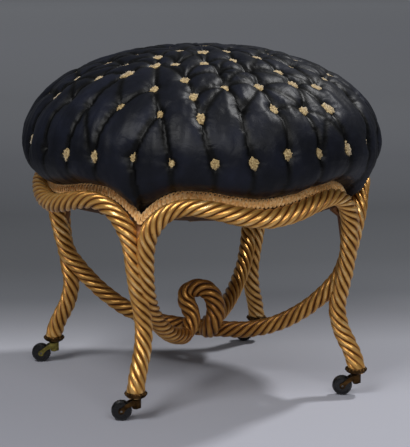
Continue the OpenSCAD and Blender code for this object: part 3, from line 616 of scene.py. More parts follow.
GILT = gilt()
SATIN = satin()
BRAID = braid()
FLOSS = floss()
BEECH = beech()
JUTE = woven("jute_webbing", 3.333, 2.369, [(0.25, "#6B5233"), (0.5, "#A98C5E"), (0.8, "#C9B084")])
HESSIAN = woven("hessian_cloth", 2.857, 1.777, [(0.25, "#5E4A30"), (0.5, "#9C8156"), (0.8, "#BCA478")])
BRASS = metal("cast_brass_tarnished", "#A39752", "#5C5228", 0.36)
BRONZED = metal("cast_brass_bronzed_dark", "#5E4426", "#241A10", 0.38)
STEEL = metal("drawn_steel_dark", "#8A8884", "#4C4A48", 0.35)
SPRING = metal("coppered_spring_wire", "#8C6A50", "#3E332C", 0.38)
BLACK = wheel_black()

# The rope frame

# How dark the smooth gilt wood between the ropes is drawn, on the gilt's scale from crest to groove
SMOOTH_DARKNESS = 0.75


def leg_head(c):
    """The block at the top of a leg: raw beech inside, gilt on the front between the ropes."""
    half = math.degrees(math.asin(HEAD_W / 2 / BOARD_OUT))
    turns = [math.radians(a) for a in np.linspace(-half, half, 13)]
    bow = [(BOARD_OUT * math.cos(a), BOARD_OUT * math.sin(a)) for a in turns]
    inner = BOARD_OUT - HEAD_DEPTH
    outline = bow + [(inner, HEAD_W / 2), (inner, -HEAD_W / 2)]
    m = len(outline)
    points = [at_corner(c, r, side, z) for z in (SEAT_RAIL_Z, BOARD_TOP) for r, side in outline]
    faces = bands(2, m) + caps(2, m)
    darkening = {"hollow": [SMOOTH_DARKNESS] * len(points)}
    block = mesh_piece("leg_head", points, faces, BEECH, smooth=False, values=darkening)
    block.data.materials.append(GILT)
    for face in block.data.polygons[: len(bow) - 1]:
        face.material_index = 1
    return block


def leg_core(c):
    """The wood that joins a leg's two ropes where they part."""
    # Height, half width along the radius, half width across it, distance from the middle
    rounds = [(HIP_Z - 47, 6, 6, HIP_REACH - 11), (HIP_Z - 5, 12, 12, HIP_REACH - 11)]
    rounds += [(HIP_Z + 4, 10, 18, BOARD_OUT - 10.3), (SEAT_RAIL_Z + 8, 10, 23, BOARD_OUT - 10.3)]
    m = 24
    points = []
    for z, deep, wide, reach in rounds:
        for i in range(m):
            a = 2 * math.pi * i / m
            points.append(at_corner(c, reach + deep * math.cos(a), wide * math.sin(a), z))
    rings = len(rounds)
    faces = bands(rings, m) + caps(rings, m)
    return mesh_piece("leg_core", points, faces, GILT, values={"hollow": [SMOOTH_DARKNESS] * len(points)})


for c in range(4):
    foot = rope_piece("foot_rope", ROPE, 0, LEG_END + 1, 90 * ((c + 3) % 4))
    branch = rope_piece("branch_rope", ROPE, RAIL_END, ARM_START + 1, 90 * c)
    leg = joined([foot, branch, leg_core(c), leg_head(c)], "carved_leg_" + CORNERS[c])
    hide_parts("leg_" + CORNERS[c])
    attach(leg, "frame")

for k in range(4):
    rail = rope_piece("carved_rail_" + SIDES[k], ROPE, LEG_END, RAIL_END + 1, 90 * k)
    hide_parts("rope_rail_" + SIDES[k])
    arm = rope_piece("carved_arm_" + CORNERS[k], ROPE, ARM_START, KNOT_START + 1, 90 * k)
    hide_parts("stretcher_arm_" + CORNERS[k])
    for piece in (rail, arm):
        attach(piece, "frame")

knot_loop = rope_piece("knot_loop", knot_rope(KNOT_LOOP, 0, 2, LOOP_FULLER))
knot_cross = rope_piece("knot_cross", knot_rope(KNOT_CROSS, 3, 1))
knot = joined([knot_loop, knot_cross], "carved_knot")
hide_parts("stretcher_knot")
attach(knot, "frame")

# The cushion

# Points round the cushion, and rows of them down the dome, down the side and behind the gimp
AROUND, DOME_ROWS, SIDE_ROWS, TAIL_ROWS = 576, 100, 46, 4
AZIMUTH = np.arange(AROUND) * 360 / AROUND
# How far the satin starts above the gimp's upper edge, and how far it runs down behind the gimp
OVER_GIMP, BEHIND_GIMP = 1.6, 0.6 * GIMP_H


def unturned(azimuth):
    """Turn from the middle of the rail that a direction faces."""
    return (np.asarray(azimuth, float) + 45) % 90 - 45


def circle(radius, z):
    """A ring of the cushion's points."""
    a = np.radians(AZIMUTH)
    return np.column_stack([radius * np.cos(a), radius * np.sin(a), np.broadcast_to(z, len(a))])


def cushion_base():
    """The cushion before buttoning: rings of points from the crown to behind the gimp."""
    rise = CROWN_Z - BELLY_Z
    rings = []
    for row in range(1, DOME_ROWS + 1):
        a = row / DOME_ROWS * np.pi / 2
        radius = CUSHION_R * np.sin(a) ** (2 / DOME_POWER)
        rings.append(circle(radius, BELLY_Z + rise * max(math.cos(a), 0) ** (2 / DOME_POWER)))
    # The side's share of the height that is left, against its share of the way in to the gimp
    side = [(1.0, 0.0, 0, 0), (0.65, 0.075, 0, 0), (0.36, 0.265, 0, 0), (0.15, 0.57, 0, 0), (0.0, 1.0, 0, 0)]
    drawn = curve(np.array(side), 16)
    inward, side_h = CUSHION_R - SKIRT_R, 44
    s = lengths(np.column_stack([drawn[:, 1] * inward, drawn[:, 0] * side_h]))
    at = np.linspace(0, s[-1], SIDE_ROWS + 1)[1:]
    low = gimp_top(unturned(AZIMUTH)) + OVER_GIMP
    for level, way in zip(np.interp(at, s, drawn[:, 0]), np.interp(at, s, drawn[:, 1])):
        rings.append(circle(CUSHION_R - way * inward, low + level * (BELLY_Z - low)))
    for row in range(1, TAIL_ROWS + 1):
        rings.append(circle(SKIRT_R, low - row / TAIL_ROWS * (OVER_GIMP + BEHIND_GIMP)))
    return np.array(rings)


base = cushion_base()
ROWS = len(base)
across = np.roll(base, -1, axis=1) - np.roll(base, 1, axis=1)
down = np.gradient(base, axis=0)
normals = np.cross(down, across)
normals /= np.maximum(np.linalg.norm(normals, axis=2, keepdims=True), 1e-9)
flat = base.reshape(-1, 3)
flat_normals = normals.reshape(-1, 3)


def tree_of(points):
    """A tree that finds the nearest of some points."""
    made = kdtree.KDTree(len(points))
    for index, p in enumerate(points):
        made.insert(p, index)
    made.balance()
    return made


base_tree = tree_of(flat)


def on_cushion(p):
    """The cushion's own point that is nearest to a place."""
    return flat[base_tree.find(p)[1]]


def on_dome(azimuth, r):
    """A place on the dome, at a distance from its middle."""
    a = math.radians(azimuth)
    share = max(1 - (r / CUSHION_R) ** DOME_POWER, 0)
    z = BELLY_Z + (CROWN_Z - BELLY_Z) * share ** (1 / DOME_POWER)
    return np.array([r * math.cos(a), r * math.sin(a), z])


def on_side(azimuth, z):
    """A place on the cushion's widest line, at a height."""
    a = math.radians(azimuth)
    return np.array([CUSHION_R * math.cos(a), CUSHION_R * math.sin(a), z])


def spread(start, stop, count, size):
    """Buttons at equal steps round the part of a ring that the photograph doesn't show."""
    return [(start + (stop - start) * (i + 1) / (count + 1), size, 1) for i in range(count)]


# Rings of buttons from the side up to the crown. A button is its azimuth, its height on the side
# or its radius on the dome, and whether its tuft is still there. Those that the photograph shows
# are written out, and the others are spread evenly
RINGS = [
    [
        (175.8, 357, 1), (-172.1, 353, 0), (-160.1, 349, 1), (-148.2, 353, 1), (-135.1, 357, 1),
        (-122.8, 349, 1), (-109.5, 350, 1), (-97.6, 350.5, 1), (-86.4, 359.5, 1), (-74.5, 357, 1),
        (-61.1, 357.5, 1), (-47.5, 359, 1),
        *spread(-47.5, 175.8, 18, 354),
    ],
    [
        (176.9, 212, 1), (-170.5, 213, 0), (-157.6, 214, 0), (-144.3, 211, 1), (-127.9, 217, 1),
        (-113.6, 222, 1), (-99.2, 212, 0), (-86.7, 212, 1), (-75.1, 219, 1), (-63.2, 221, 1),
        (-42.7, 219, 1),
        *spread(-42.7, 176.9, 16, 218),
    ],
    [
        (-170.1, 170, 1), (-154.1, 155, 1), (-134.6, 178, 1), (-117.1, 191, 1), (-102.9, 173, 1),
        (-87.6, 174, 1), (-68.9, 175, 1), (-57.5, 188, 1),
        *spread(-57.5, 189.9, 15, 180),
    ],
    [
        (-169.2, 127, 1), (-146.0, 118, 1), (-121.8, 156, 1), (-104.0, 134, 0), (-86.0, 134, 0),
        (-67.6, 143, 1),
        *spread(-67.6, 190.8, 13, 134),
    ],
    [
        (-158.0, 84, 1), (-132.5, 112, 1), (-112.1, 104, 1), (-86.0, 92, 1), (-60.0, 92, 1),
        *spread(-60.0, 202.0, 9, 92),
    ],
    [(23 + 45 * i, 48, 1) for i in range(8)],
]
# Depth of the pleats that reach each ring of the dome from the one below it
PLEAT_DEPTHS = (6.6, 5.6, 4.8, 4.2, 3.8)
# Depth of the pleats along each ring of the dome, and the share of the places that have one
RING_DEPTHS = (4.2, 4.6, 4.0, 3.4, 3.0)
RING_SHARES = (0.3, 0.8, 0.6, 0.7, 0.5)
CROWN_PLEAT, SIDE_PLEAT, CORNER_PLEAT, CORNER_TURN = 3.0, 4.4, 8.0, 43.5
# Millimetres from point to point of a pleat, and the place inside the pad that pleats bow round
PLEAT_STEP, PAD_MIDDLE = 1.5, np.array([0, 0, 250.0])

side_places = [on_cushion(on_side(azimuth, z)) for azimuth, z, _ in RINGS[0]]
dome_places = [[on_cushion(on_dome(azimuth, r)) for azimuth, r, _ in ring] for ring in RINGS[1:]]
places = [side_places] + dome_places
crown_place = np.array([0.0, 0.0, CROWN_Z])
rng = np.random.default_rng(7)
pleats = []


def pleat(a, b, depth, bow=0.0, fade=1.0):
    """A pleat from one place on the cushion to another, bowed to one side, fading to its end."""
    length = np.linalg.norm(b - a)
    side = unit(np.cross(b - a, a - PAD_MIDDLE))
    for t in np.linspace(0, 1, max(3, int(length / PLEAT_STEP)) + 1):
        p = a + (b - a) * t + side * bow * length * 4 * t * (1 - t)
        shade = (0.7 + 0.3 * abs(2 * t - 1)) * (1 + (fade - 1) * t)
        pleats.append((on_cushion(p), depth * shade))


def gap_between(a, b):
    """The turn between two directions."""
    return abs((a - b + 180) % 360 - 180)


for ring in range(1, len(RINGS)):
    for place, (azimuth, _, _) in zip(places[ring - 1], RINGS[ring - 1]):
        order = sorted(range(len(RINGS[ring])), key=lambda j: gap_between(azimuth, RINGS[ring][j][0]))
        depth = PLEAT_DEPTHS[ring - 1] * rng.uniform(0.85, 1.15)
        pleat(place, places[ring][order[0]], depth, rng.uniform(-0.07, 0.07))
        if rng.random() < (0.45 if ring == 1 else 0.6):
            pleat(place, places[ring][order[1]], depth * rng.uniform(0.45, 0.8), rng.uniform(-0.1, 0.1), 0.6)
for row, depth, share in zip(dome_places, RING_DEPTHS, RING_SHARES):
    for a, b in zip(row, row[1:] + row[:1]):
        if rng.random() < share:
            pleat(a, b, depth * rng.uniform(0.7, 1.0), rng.uniform(-0.12, 0.02))
for place in dome_places[-1][::2]:
    pleat(place, crown_place, CROWN_PLEAT)
for azimuth, height, _ in RINGS[0]:
    low = float(gimp_top(unturned(azimuth)))
    foot = on_side(azimuth + rng.uniform(-1.5, 1.5), low + 4)
    foot[:2] *= (SKIRT_R + 4) / CUSHION_R
    corner = abs(unturned(azimuth)) > CORNER_TURN
    depth = CORNER_PLEAT if corner else SIDE_PLEAT * rng.uniform(0.7, 1.1)
    pleat(on_side(azimuth, height), foot, depth, rng.uniform(-0.05, 0.05), 1.0 if corner else 0.45)

buttons = [p for row in places for p in row] + [crown_place]
pleat_tree = tree_of([p for p, _ in pleats])
button_tree = tree_of(buttons)

# How far from its line a pleat draws the satin in, softly and sharply, and how wide its painted shade is
PLEAT_REACH, PLEAT_LINE, PLEAT_SHADE = 20.0, 3.0, 2.6
# How far from its middle a button draws the satin in, how far its small creases run, and how
# wide its painted shade is
BUTTON_REACH, STAR_REACH, BUTTON_SHADE = 24.0, 34.0, 6.0
# Depth of the gathers down the side, and of the stuffing's lumps and ripples
GATHERS, LUMPS, RIPPLES = 1.1, 1.3, 0.45
# What a button pulls in, beyond the pleats that meet at it, and how far the puffs stand out
BUTTON_DIP, PUFF = BUTTON_PULL - 5.0, 2.0
# Rows over which the pull fades out above the gimp
RIM_ROWS = 7


def star(p, which, normal, distance):
    """Small creases that run out from a button."""
    away = p - Vector(buttons[which])
    one = unit(np.cross(normal, (0.3, 0.5, 0.8)))
    two = np.cross(normal, one)
    angle = math.atan2(away.dot(Vector(two)), away.dot(Vector(one)))
    rays = 6 + which % 4
    wave = math.cos(rays * angle + which * 1.7) + 0.6 * math.cos((rays + 5) * angle + which * 0.9)
    return 0.75 * wave * math.exp(-distance / 11) * min(1.0, distance / 4)


def unevenness(p):
    """Gathers down the side, and the stuffing's own soft lumps."""
    turned = math.atan2(p.y, p.x)
    steep = min(1.0, max(0.0, (CROWN_Z - 20 - p.z) / 60))
    folds = noise.noise(Vector((math.cos(turned) * 26, math.sin(turned) * 26, p.z * 0.02)))
    return GATHERS * folds * steep + LUMPS * noise.noise(p * 0.022) + RIPPLES * noise.noise(p * 0.08)


def drawn_in(p, normal):
    """How far the satin is pulled in at a point, and its painted shade from 0 to 1, deepest in a tuck or by a
    button.
    """
    _, at, d = pleat_tree.find(p)
    depth = pleats[at][1]
    slope = max(0.0, 1 - d / PLEAT_REACH)
    amount = depth * (0.62 * slope**1.6 + 0.38 * math.exp(-((d / PLEAT_LINE) ** 1.5)))
    fold_shade = math.exp(-((d / PLEAT_SHADE) ** 1.4)) * min(1.0, depth / 4.5)
    _, which, d = button_tree.find(p)
    amount += BUTTON_DIP * max(0.0, 1 - d / BUTTON_REACH) ** 2.2
    if d < STAR_REACH:
        amount += star(p, which, normal, d)
    return amount + unevenness(p), max(fold_shade, math.exp(-((d / BUTTON_SHADE) ** 2)))


drawn = np.array([drawn_in(Vector(p), normal) for p, normal in zip(flat, flat_normals)])
rim = np.clip((DOME_ROWS + SIDE_ROWS - np.repeat(np.arange(ROWS), AROUND)) / RIM_ROWS, 0, 1)
pull, tuck_shade = (drawn[:, 0] - PUFF) * rim, drawn[:, 1]
shaped = flat - flat_normals * pull[:, None]

# How far the pad ends inside the board and the hessian inside the pad, and how much wider than
# the springs the hessian's flat part is
PAD_IN, HESSIAN_IN, SPRINGS_SHARE = 8.0, 3.0, 1.3
HESSIAN_R, HESSIAN_FLAT_R = BOARD_OUT - PAD_IN - HESSIAN_IN, (SPRING_AT + SPRING_D / 2) * SPRINGS_SHARE
HESSIAN_LOW = BOARD_TOP + SOFT_GAP
WEB_GAP = 0.2
WEB_SWING = (WEB_T + WEB_GAP) / 2
WEB_Z = SEAT_RAIL_Z - WEB_GAP - WEB_T / 2 - WEB_SWING
SPRING_Z = WEB_Z + WEB_SWING + WEB_T / 2 + SOFT_GAP + WIRE_D / 2
HESSIAN_TOP = SPRING_Z + SPRING_H - WIRE_D / 2 + SOFT_GAP
# How high the satin lies over the hessian's edge and over its flat part, and how dark its painted shade is
# there
FOOT_OVER, FLAT_OVER, INNER_SHADE = 0.4, 2.2, 0.6

# The satin turns in behind the gimp, and its foot closes over the hessian
rings = list(shaped.reshape(ROWS, AROUND, 3))
rings.append(circle(SKIRT_R - SATIN_T, rings[-1][:, 2]))
rings.append(circle(SKIRT_R - SATIN_T, HESSIAN_LOW + FOOT_OVER))
rings.append(circle(HESSIAN_R + 1.0, HESSIAN_LOW + FOOT_OVER))
rings.append(circle(HESSIAN_R - 1.0, HESSIAN_LOW + 2.0))
rings.append(circle(HESSIAN_FLAT_R, HESSIAN_TOP + FLAT_OVER))
crown_point = [[0.0, 0.0, CROWN_Z + PUFF - BUTTON_DIP]]
foot_point = [[0.0, 0.0, HESSIAN_TOP + FLAT_OVER]]
net_points = np.vstack([crown_point] + rings + [foot_point])
last = len(net_points) - 1
net_faces = [(0, 1 + i, 1 + (i + 1) % AROUND) for i in range(AROUND)]
net_faces += bands(len(rings), AROUND, first=1, downward=True)
net_faces += [(last - AROUND + i, last, last - AROUND + (i + 1) % AROUND) for i in range(AROUND)]
# Painted shade: full at the crown's dimple, and the inner amount where the satin turns in under the cushion
tuck_shades = np.concatenate([[1.0], tuck_shade, np.full(len(net_points) - 1 - len(tuck_shade), INNER_SHADE)])
cushion = mesh_piece("buttoned_satin_cushion", net_points, net_faces, SATIN, values={"tuck_shade": tuck_shades})
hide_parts("cushion_cover", "hair_pad")
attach(cushion, "frame")


# The tufts

# How large a tuft is drawn, how far it stands out of its dimple, how ragged it is, and how far
# round it the satin is looked at for the way that it faces
TUFT_GROWTH, TUFT_OUT, RAGGED, TUFT_LOOK = BUTTON_D / 8.6, 1.3, 1.1, 16.0


def tuft_mesh():
    """One floss-silk tuft: a tied bundle whose ends are combed out and clipped to a low dome."""
    petals = 16
    profile = [(1.8, -0.9), (4.7, 0.3), (6.4, 1.6), (5.8, 3.2), (3.2, 4.3)]
    top = len(profile) - 1
    points = []
    for row, (r, z) in enumerate(profile):
        for k in range(petals):
            wobble = 1 + (0.13 if k % 2 else -0.1) * (1 if row < top else 0.4)
            a = 2 * math.pi * k / petals
            points.append((r * wobble * math.cos(a), r * wobble * math.sin(a), z + (0.35 if k % 2 else -0.2)))
    points.append((0, 0, 4.2))
    under, _ = caps(len(profile), petals)
    first = top * petals
    crown = [(first + k, first + (k + 1) % petals, len(points) - 1) for k in range(petals)]
    return points, bands(len(profile), petals) + crown + [under]


shaped_tree = tree_of(shaped)


def facing(seat, outward):
    """The way that the satin faces round a seat."""
    near = np.array([shaped[k] for _, k, _ in shaped_tree.find_range(Vector(seat), TUFT_LOOK)])
    normal = np.linalg.svd(near - np.mean(near, axis=0), full_matrices=False)[2][2]
    return -normal if normal @ outward < 0 else normal


def tufts(name, seats):
    """Tufts on their seats, each turned, squeezed and sized in its own way."""
    tuft, tuft_faces = tuft_mesh()
    points, faces = [], []
    for index, place in enumerate(seats):
        at = base_tree.find(place)[1]
        normal = facing(shaped[at], flat_normals[at])
        one = unit(np.cross(normal, (0.3, 0.5, 0.8)))
        two = np.cross(normal, one)
        spin = index * 0.8
        a = math.cos(spin) * one + math.sin(spin) * two
        b = np.cross(normal, a)
        grow = TUFT_GROWTH * (1 + 0.12 * math.sin(index * 2.3))
        squeeze = 1 + 0.16 * math.sin(index * 4.1)
        start = len(points)
        for x, y, z in tuft:
            ragged = RAGGED * noise.noise(Vector((x * 0.5 + index * 9.1, y * 0.5, z * 0.5)))
            flat_part = grow * ((x * squeeze + ragged) * a + (y / squeeze - ragged) * b)
            points.append(shaped[at] + flat_part + (z + TUFT_OUT + ragged) * normal)
        faces += [tuple(start + k for k in face) for face in tuft_faces]
    return mesh_piece(name, points, faces, FLOSS)


kept = [[p for p, (_, _, there) in zip(row, ring) if there] for row, ring in zip(places, RINGS)]
top_tufts = tufts("silk_tufts_top", [p for row in kept[1:] for p in row] + [crown_place])
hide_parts("buttons_top")
side_tufts = tufts("silk_tufts_side", kept[0])
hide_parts("buttons_side")
for piece in (top_tufts, side_tufts):
    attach(piece, "frame")


# Geometry Nodes, and the gimp
def grown_tree(name, sizes, result):
    """A Geometry Nodes tree that takes a line and named sizes, and those inputs."""
    tree = bpy.data.node_groups.new(name, "GeometryNodeTree")
    tree.interface.new_socket("Line", in_out="INPUT", socket_type="NodeSocketGeometry")
    for label, size in sizes.items():
        kind = "NodeSocketInt" if isinstance(size, int) else "NodeSocketFloat"
        tree.interface.new_socket(label, in_out="INPUT", socket_type=kind).default_value = size
    tree.interface.new_socket(result, in_out="OUTPUT", socket_type="NodeSocketGeometry")
    return tree, add(tree, "NodeGroupInput").outputs


def end_tree(tree, geometry, material, result):
    """The tree's end: instances made real, smoothed, and given their material."""
    real = add(tree, "GeometryNodeRealizeInstances", {"Geometry": geometry})
    smooth = add(tree, "GeometryNodeSetShadeSmooth", {"Geometry": real.outputs[0]})
    coloured = add(tree, "GeometryNodeSetMaterial", {"Geometry": smooth.outputs[0], "Material": material})
    add(tree, "NodeGroupOutput", {result: coloured.outputs[0]})


def plain_mesh(piece):
    """The piece's evaluated form as its own plain mesh, with no modifier left."""
    graph = bpy.context.evaluated_depsgraph_get()
    graph.update()
    made = bpy.data.meshes.new_from_object(piece.evaluated_get(graph))
    piece.modifiers.clear()
    piece.data = made


def grown(name, mesh, tree):
    """What a Geometry Nodes tree makes of a line, as a plain mesh."""
    piece = placed(name, mesh)
    piece.modifiers.new(tree.name, "NODES").node_group = tree
    plain_mesh(piece)
    return piece


def loop_braid():
    """Loops of cord side by side along the gimp's line, with sizes in metres."""
    sizes = {"Spacing": 0.0060, "Loop height": 0.0128, "Loop width": 0.0054, "Cord radius": 0.0014}
    tree, given = grown_tree("gimp_loops", sizes, "Braid")
    line = add(tree, "GeometryNodeMeshToCurve", {"Mesh": given["Line"]})
    spaced = {"Curve": line.outputs[0], "Length": given["Spacing"]}
    points = add(tree, "GeometryNodeResampleCurve", spaced, mode="LENGTH")
    tangent = add(tree, "GeometryNodeInputTangent")
    lined_up = add(
        tree,
        "FunctionNodeAlignRotationToVector",
        {"Vector": tangent.outputs[0]},
        axis="X",
        pivot_axis="Z",
    )
    circle_line = add(tree, "GeometryNodeCurvePrimitiveCircle", {"Resolution": 14, "Radius": 0.5})
    oval_size = add(
        tree,
        "ShaderNodeCombineXYZ",
        {"X": given["Loop width"], "Y": given["Loop height"], "Z": 1.0},
    )
    stretched = {"Geometry": circle_line.outputs[0], "Scale": oval_size.outputs[0]}
    oval = add(tree, "GeometryNodeTransform", stretched)
    stood = {"Geometry": oval.outputs[0], "Rotation": (math.pi / 2, 0.25, 0.22)}
    upright = add(tree, "GeometryNodeTransform", stood)
    cord = add(tree, "GeometryNodeCurvePrimitiveCircle", {"Resolution": 5, "Radius": given["Cord radius"]})
    swept = {"Curve": upright.outputs[0], "Profile Curve": cord.outputs[0]}
    loop = add(tree, "GeometryNodeCurveToMesh", swept)
    laid = {"Points": points.outputs[0], "Instance": loop.outputs[0], "Rotation": lined_up.outputs[0]}
    loops = add(tree, "GeometryNodeInstanceOnPoints", laid)
    end_tree(tree, loops.outputs[0], BRAID, "Braid")
    return tree


LOOPS = loop_braid()
# The gimp's tape as a section through it: out from its line, and up
TAPE = [(0.15, -4.2), (0.75, -3.4), (0.95, -2.0), (0.5, -0.9), (0.95, 0.2), (0.95, 1.6), (0.5, 2.6)]
TAPE += [(0.15, 3.6), (-0.9, 3.6), (-0.9, -4.2)]
# Where the loops' line lies in that section
LOOPS_OUT, LOOPS_UP = 0.9, 1.0
# Half the turn that one length of gimp takes up, and the wider turn from which it is cut
GIMP_TURN, GIMP_DRAWN = 44.9, 50


def out_and_up(line):
    """For each point of a line round the stool, the way out of the side and the way up along it."""
    t = np.gradient(line, axis=0)
    t /= np.linalg.norm(t, axis=1)[:, None]
    out = line * (1, 1, 0)
    out /= np.linalg.norm(out, axis=1)[:, None]
    up = np.cross(out, t)
    return out, up * np.sign(up[:, 2:3])


def gimp_piece(k):
    """One length of gimp: a ribbed tape with loops of cord over it."""
    at = np.linspace(-GIMP_DRAWN, GIMP_DRAWN, 161)
    edge = on_ring(GIMP_R, at, gimp_top(at))
    line = edge - out_and_up(edge)[1] * GIMP_H / 2
    line = line[np.abs(np.degrees(np.arctan2(line[:, 0], -line[:, 1]))) <= GIMP_TURN]
    out, up = out_and_up(line)
    n, m = len(line), len(TAPE)
    points = np.vstack([line + out * a + up * b for a, b in TAPE])
    faces = []
    for r in range(m):
        a, b = r * n, (r + 1) % m * n
        faces += [(a + i, b + i, b + i + 1, a + i + 1) for i in range(n - 1)]
    faces += [tuple(r * n for r in range(m)), tuple((m - r) * n - 1 for r in range(m))]
    tape = mesh_piece("tape", turn(points, 90 * k), faces, BRAID)
    middle = turn(line + out * LOOPS_OUT + up * LOOPS_UP, 90 * k)
    name = "gimp_loops_" + SIDES[k]
    loops = grown(name, mesh_of(name, middle, [(i, i + 1) for i in range(n - 1)], []), LOOPS)
    return joined([tape, loops], "gimp_braid_" + SIDES[k])


for k in range(4):
    piece = gimp_piece(k)
    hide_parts("gimp_" + SIDES[k])
    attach(piece, "frame")


# The underside: webbing and hessian

# How far inside the board the webs end, and how wide their rolled selvedge is
WEB_IN, SELVEDGE = 9.9, 3


def web(i, flip):
    """One jute web, woven over and under those that cross it, with a rolled selvedge."""
    flat_part = WEB_W / 2 + 1
    half_length = math.sqrt((BOARD_OUT - WEB_IN) ** 2 - (abs(i) * (WEB_PITCH + WEB_W * 0.1)) ** 2)
    stops = [(-half_length, WEB_SWING), (-WEB_PITCH - 2 * flat_part, WEB_SWING)]
    for j in (-1, 0, 1):
        for e in (-1, 1):
            stops.append((j * WEB_PITCH + e * flat_part, WEB_SWING * flip * (-1 if (i + j) % 2 else 1)))
    stops += [(WEB_PITCH + 2 * flat_part, WEB_SWING), (half_length, WEB_SWING)]
    stops.sort()
    x = np.linspace(-half_length, half_length, 131)
    z = np.interp(x, [s[0] for s in stops], [s[1] for s in stops])
    y = np.linspace(-WEB_W / 2, WEB_W / 2, 11)
    half = WEB_T / 2 * np.where(np.abs(y) > WEB_W / 2 - SELVEDGE, 1.0, 0.8)
    points = [
        (a, i * WEB_PITCH + b, WEB_Z + c + side * h)
        for side in (1, -1)
        for a, c in zip(x, z)
        for b, h in zip(y, half)
    ]
    w, n = len(y), len(x)
    off = w * n
    faces = []
    for r in range(n - 1):
        for s in range(w - 1):
            a = r * w + s
            faces.append((a, a + w, a + w + 1, a + 1))
            faces.append((off + a, off + a + 1, off + a + w + 1, off + a + w))
        a, b = r * w, r * w + w - 1
        faces.append((a, off + a, off + a + w, a + w))
        faces.append((b, b + w, off + b + w, off + b))
    for s in range(w - 1):
        faces.append((s, s + 1, off + s + 1, off + s))
        a = (n - 1) * w + s
        faces.append((a, off + a, off + a + 1, a + 1))
    return np.array(points), faces


for name, flip, degrees in (("webbing_across", 1, 0), ("webbing_along", -1, 90)):
    webs = []
    for i in (-1, 0, 1):
        points, faces = web(i, flip)
        webs.append(mesh_piece("web", turn(points, degrees), faces, JUTE))
    piece = joined(webs, "jute_" + name)
    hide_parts(name)
    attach(piece, "frame")

# Points round the hessian, its thickness, and how far it lies clear of the springs
SPOKES, HESSIAN_T, HESSIAN_LIFT = 96, 0.9, 0.2
hessian_out, hessian_down = HESSIAN_R - HESSIAN_FLAT_R, HESSIAN_TOP - HESSIAN_LOW
levels = [(r, HESSIAN_TOP) for r in np.linspace(4, HESSIAN_FLAT_R, 26)]
for t in np.linspace(0, 1, 25)[1:]:
    levels.append((HESSIAN_FLAT_R + hessian_out * t, HESSIAN_TOP - hessian_down * t))
sheet_points = [(0.0, 0.0, HESSIAN_TOP + HESSIAN_LIFT)]
for r, z in levels:
    for i in range(SPOKES):
        a = 2 * math.pi * i / SPOKES
        sheet_points.append((r * math.cos(a), r * math.sin(a), z + HESSIAN_LIFT))
sheet_faces = [(0, 1 + i, 1 + (i + 1) % SPOKES) for i in range(SPOKES)]
sheet_faces += bands(len(levels), SPOKES, first=1, downward=True)
hessian = mesh_piece("hessian_sheet", sheet_points, sheet_faces, HESSIAN)
thick = hessian.modifiers.new("thickness", "SOLIDIFY")
thick.thickness = HESSIAN_T * MM
thick.offset = 1
plain_mesh(hessian)
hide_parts("hessian")
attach(hessian, "frame")

# Materials of the CAD pieces that stay, by the start of their names
CAD_FINISHES = {
    "seat_rail": BEECH,
    "brace": BEECH,
    "caster_fork_back_left": BRASS,
    "caster_cup": BRONZED,
    "caster_fork": BRONZED,
    "caster_axle": STEEL,
    "caster_wheel": BLACK,
    "springs": SPRING,
}
for name, node in NODES.items():
    finish = next((made for start, made in CAD_FINISHES.items() if name.startswith(start)), None)
    if finish:
        node.data.materials.clear()
        node.data.materials.append(finish)


# The beaded rims of the caster cups
def bead_ring():
    """Long beads round a caster cup, with sizes in metres."""
    tree, given = grown_tree("cup_beads", {"Beads": 16, "Ring radius": 0.0134, "Bead size": 0.0021}, "Ring")
    rim_line = {"Resolution": given["Beads"], "Radius": given["Ring radius"]}
    ring = add(tree, "GeometryNodeCurvePrimitiveCircle", rim_line)
    bead = add(tree, "GeometryNodeMeshIcoSphere", {"Radius": given["Bead size"], "Subdivisions": 2})
    strung = {"Points": ring.outputs[0], "Instance": bead.outputs[0], "Scale": (1.0, 1.0, 1.25)}
    beads = add(tree, "GeometryNodeInstanceOnPoints", strung)
    rims = add(tree, "GeometryNodeInstanceOnPoints", {"Points": given["Line"], "Instance": beads.outputs[0]})
    end_tree(tree, rims.outputs[0], BRONZED, "Ring")
    return tree


BEADS_Z = CUP_FLOOR_Z + CUP_DEPTH - 2.6
cups = [at_corner(c, FOOT_REACH, 0, BEADS_Z) for c in range(4)]
beads = grown("cup_beads", mesh_of("cup_beads", cups, [], []), bead_ring())
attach(beads, "frame")

# The floor, the light and the camera

# The paper's painted light and shade, from the stool's place to far behind it: pale by the stool, a band of
# painted shade behind it, and painted light rising far off
PAPER_LIGHT_AND_SHADE = [
    (0.0, "#9C9DA6"), (0.0225, "#9C9DA5"), (0.045, "#797A80"), (0.065, "#5B5D62"), (0.1, "#4D4F53"),
    (0.1625, "#4A4C50"), (0.25, "#63656A"), (0.4, "#929499"), (0.6, "#CACCD2"), (0.8, "#EFF1F5"),
]
# The way in which the paper's painted light and shade change, along X and Y, and how many metres they take
PAPER_WAY, PAPER_DEPTH = (0.28, 0.97, 0.0), 8.0
FLOOR_REACH = 60000.0


def paper():
    """Matt studio paper with painted light and shade: pale where the stool stands, painted shade behind it,
    and paler again far behind.
    """
    made, tree, shader = finish_of("matt_paper_grey")
    place = add(tree, "ShaderNodeTexCoord").outputs["Object"]
    away = add(tree, "ShaderNodeVectorMath", {0: place, 1: PAPER_WAY}, operation="DOT_PRODUCT")
    depth = add(tree, "ShaderNodeMapRange", {"Value": away.outputs["Value"], "From Max": PAPER_DEPTH})
    colour = add(tree, "ShaderNodeValToRGB", {"Fac": depth.outputs["Result"]}, PAPER_LIGHT_AND_SHADE)
    feed(tree, shader, {"Base Color": colour.outputs["Color"], "Roughness": 0.9})
    return made


floor_points = [(x * FLOOR_REACH, y * FLOOR_REACH, 0.0) for x, y in ((-1, -1), (1, -1), (1, 1), (-1, 1))]
floor = mesh_piece("studio_floor", floor_points, [(0, 1, 2, 3)], paper())


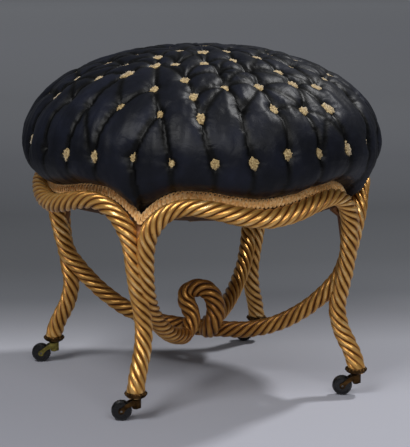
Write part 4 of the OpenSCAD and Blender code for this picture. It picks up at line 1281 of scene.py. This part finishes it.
def softbox(name, place, aim, size, power):
    """A rectangular lamp, in metres and watts."""
    data = bpy.data.lights.new(name, "AREA")
    data.shape = "RECTANGLE"
    data.size, data.size_y = size
    data.energy = power
    made = placed(name, data)
    made.location = place
    made.rotation_euler = (Vector(aim) - Vector(place)).to_track_quat("-Z", "Y").to_euler()


softbox("key_softbox", (1.66, 0.26, 2.7), (0, 0, 0.3), (0.26, 0.26), 61)
softbox("left_softbox", (-1.9, -1.3, 2.6), (0, 0, 0.25), (1.2, 1.2), 66)
softbox("front_softbox", (-0.4, -2.8, 2.1), (0, 0, 0.25), (2.0, 1.0), 37)

world = bpy.data.worlds.new("studio_air")
bpy.context.scene.world = world
world.use_nodes = True
sky = world.node_tree.nodes["Background"]
feed(world.node_tree, sky, {"Color": linear("#C3C6CC"), "Strength": 0.19})

# The camera of the photograph: its turn round the stool, distance and height, its pitch, yaw and
# roll, and its focal length and the picture's width in pixels
AROUND_STOOL, DISTANCE, HEIGHT = -0.4084, 2.7741, 0.76105
PITCH, YAW, ROLL = 0.1907, -0.0019, 0.0054
FOCAL, PICTURE_W, SENSOR_W = 1993.04, 410, 36.0
view = bpy.data.cameras.new("view")
view.sensor_fit = "HORIZONTAL"
view.sensor_width = SENSOR_W
view.lens = FOCAL * SENSOR_W / PICTURE_W
view.clip_end = 50
heading = AROUND_STOOL + YAW
level = math.cos(PITCH)
back_way = Vector((math.sin(heading) * level, -math.cos(heading) * level, math.sin(PITCH)))
right_way = Vector((math.cos(heading), math.sin(heading), 0))
up_way = back_way.cross(right_way)
rolled_right = right_way * math.cos(ROLL) + up_way * math.sin(ROLL)
rolled_up = up_way * math.cos(ROLL) - right_way * math.sin(ROLL)
stand = (DISTANCE * math.sin(AROUND_STOOL), -DISTANCE * math.cos(AROUND_STOOL), HEIGHT)
camera = placed("view", view)
camera.matrix_world = Matrix([*zip(rolled_right, rolled_up, back_way, stand), (0, 0, 0, 1)])
bpy.context.scene.camera = camera
bpy.context.scene.view_settings.view_transform = "Standard"
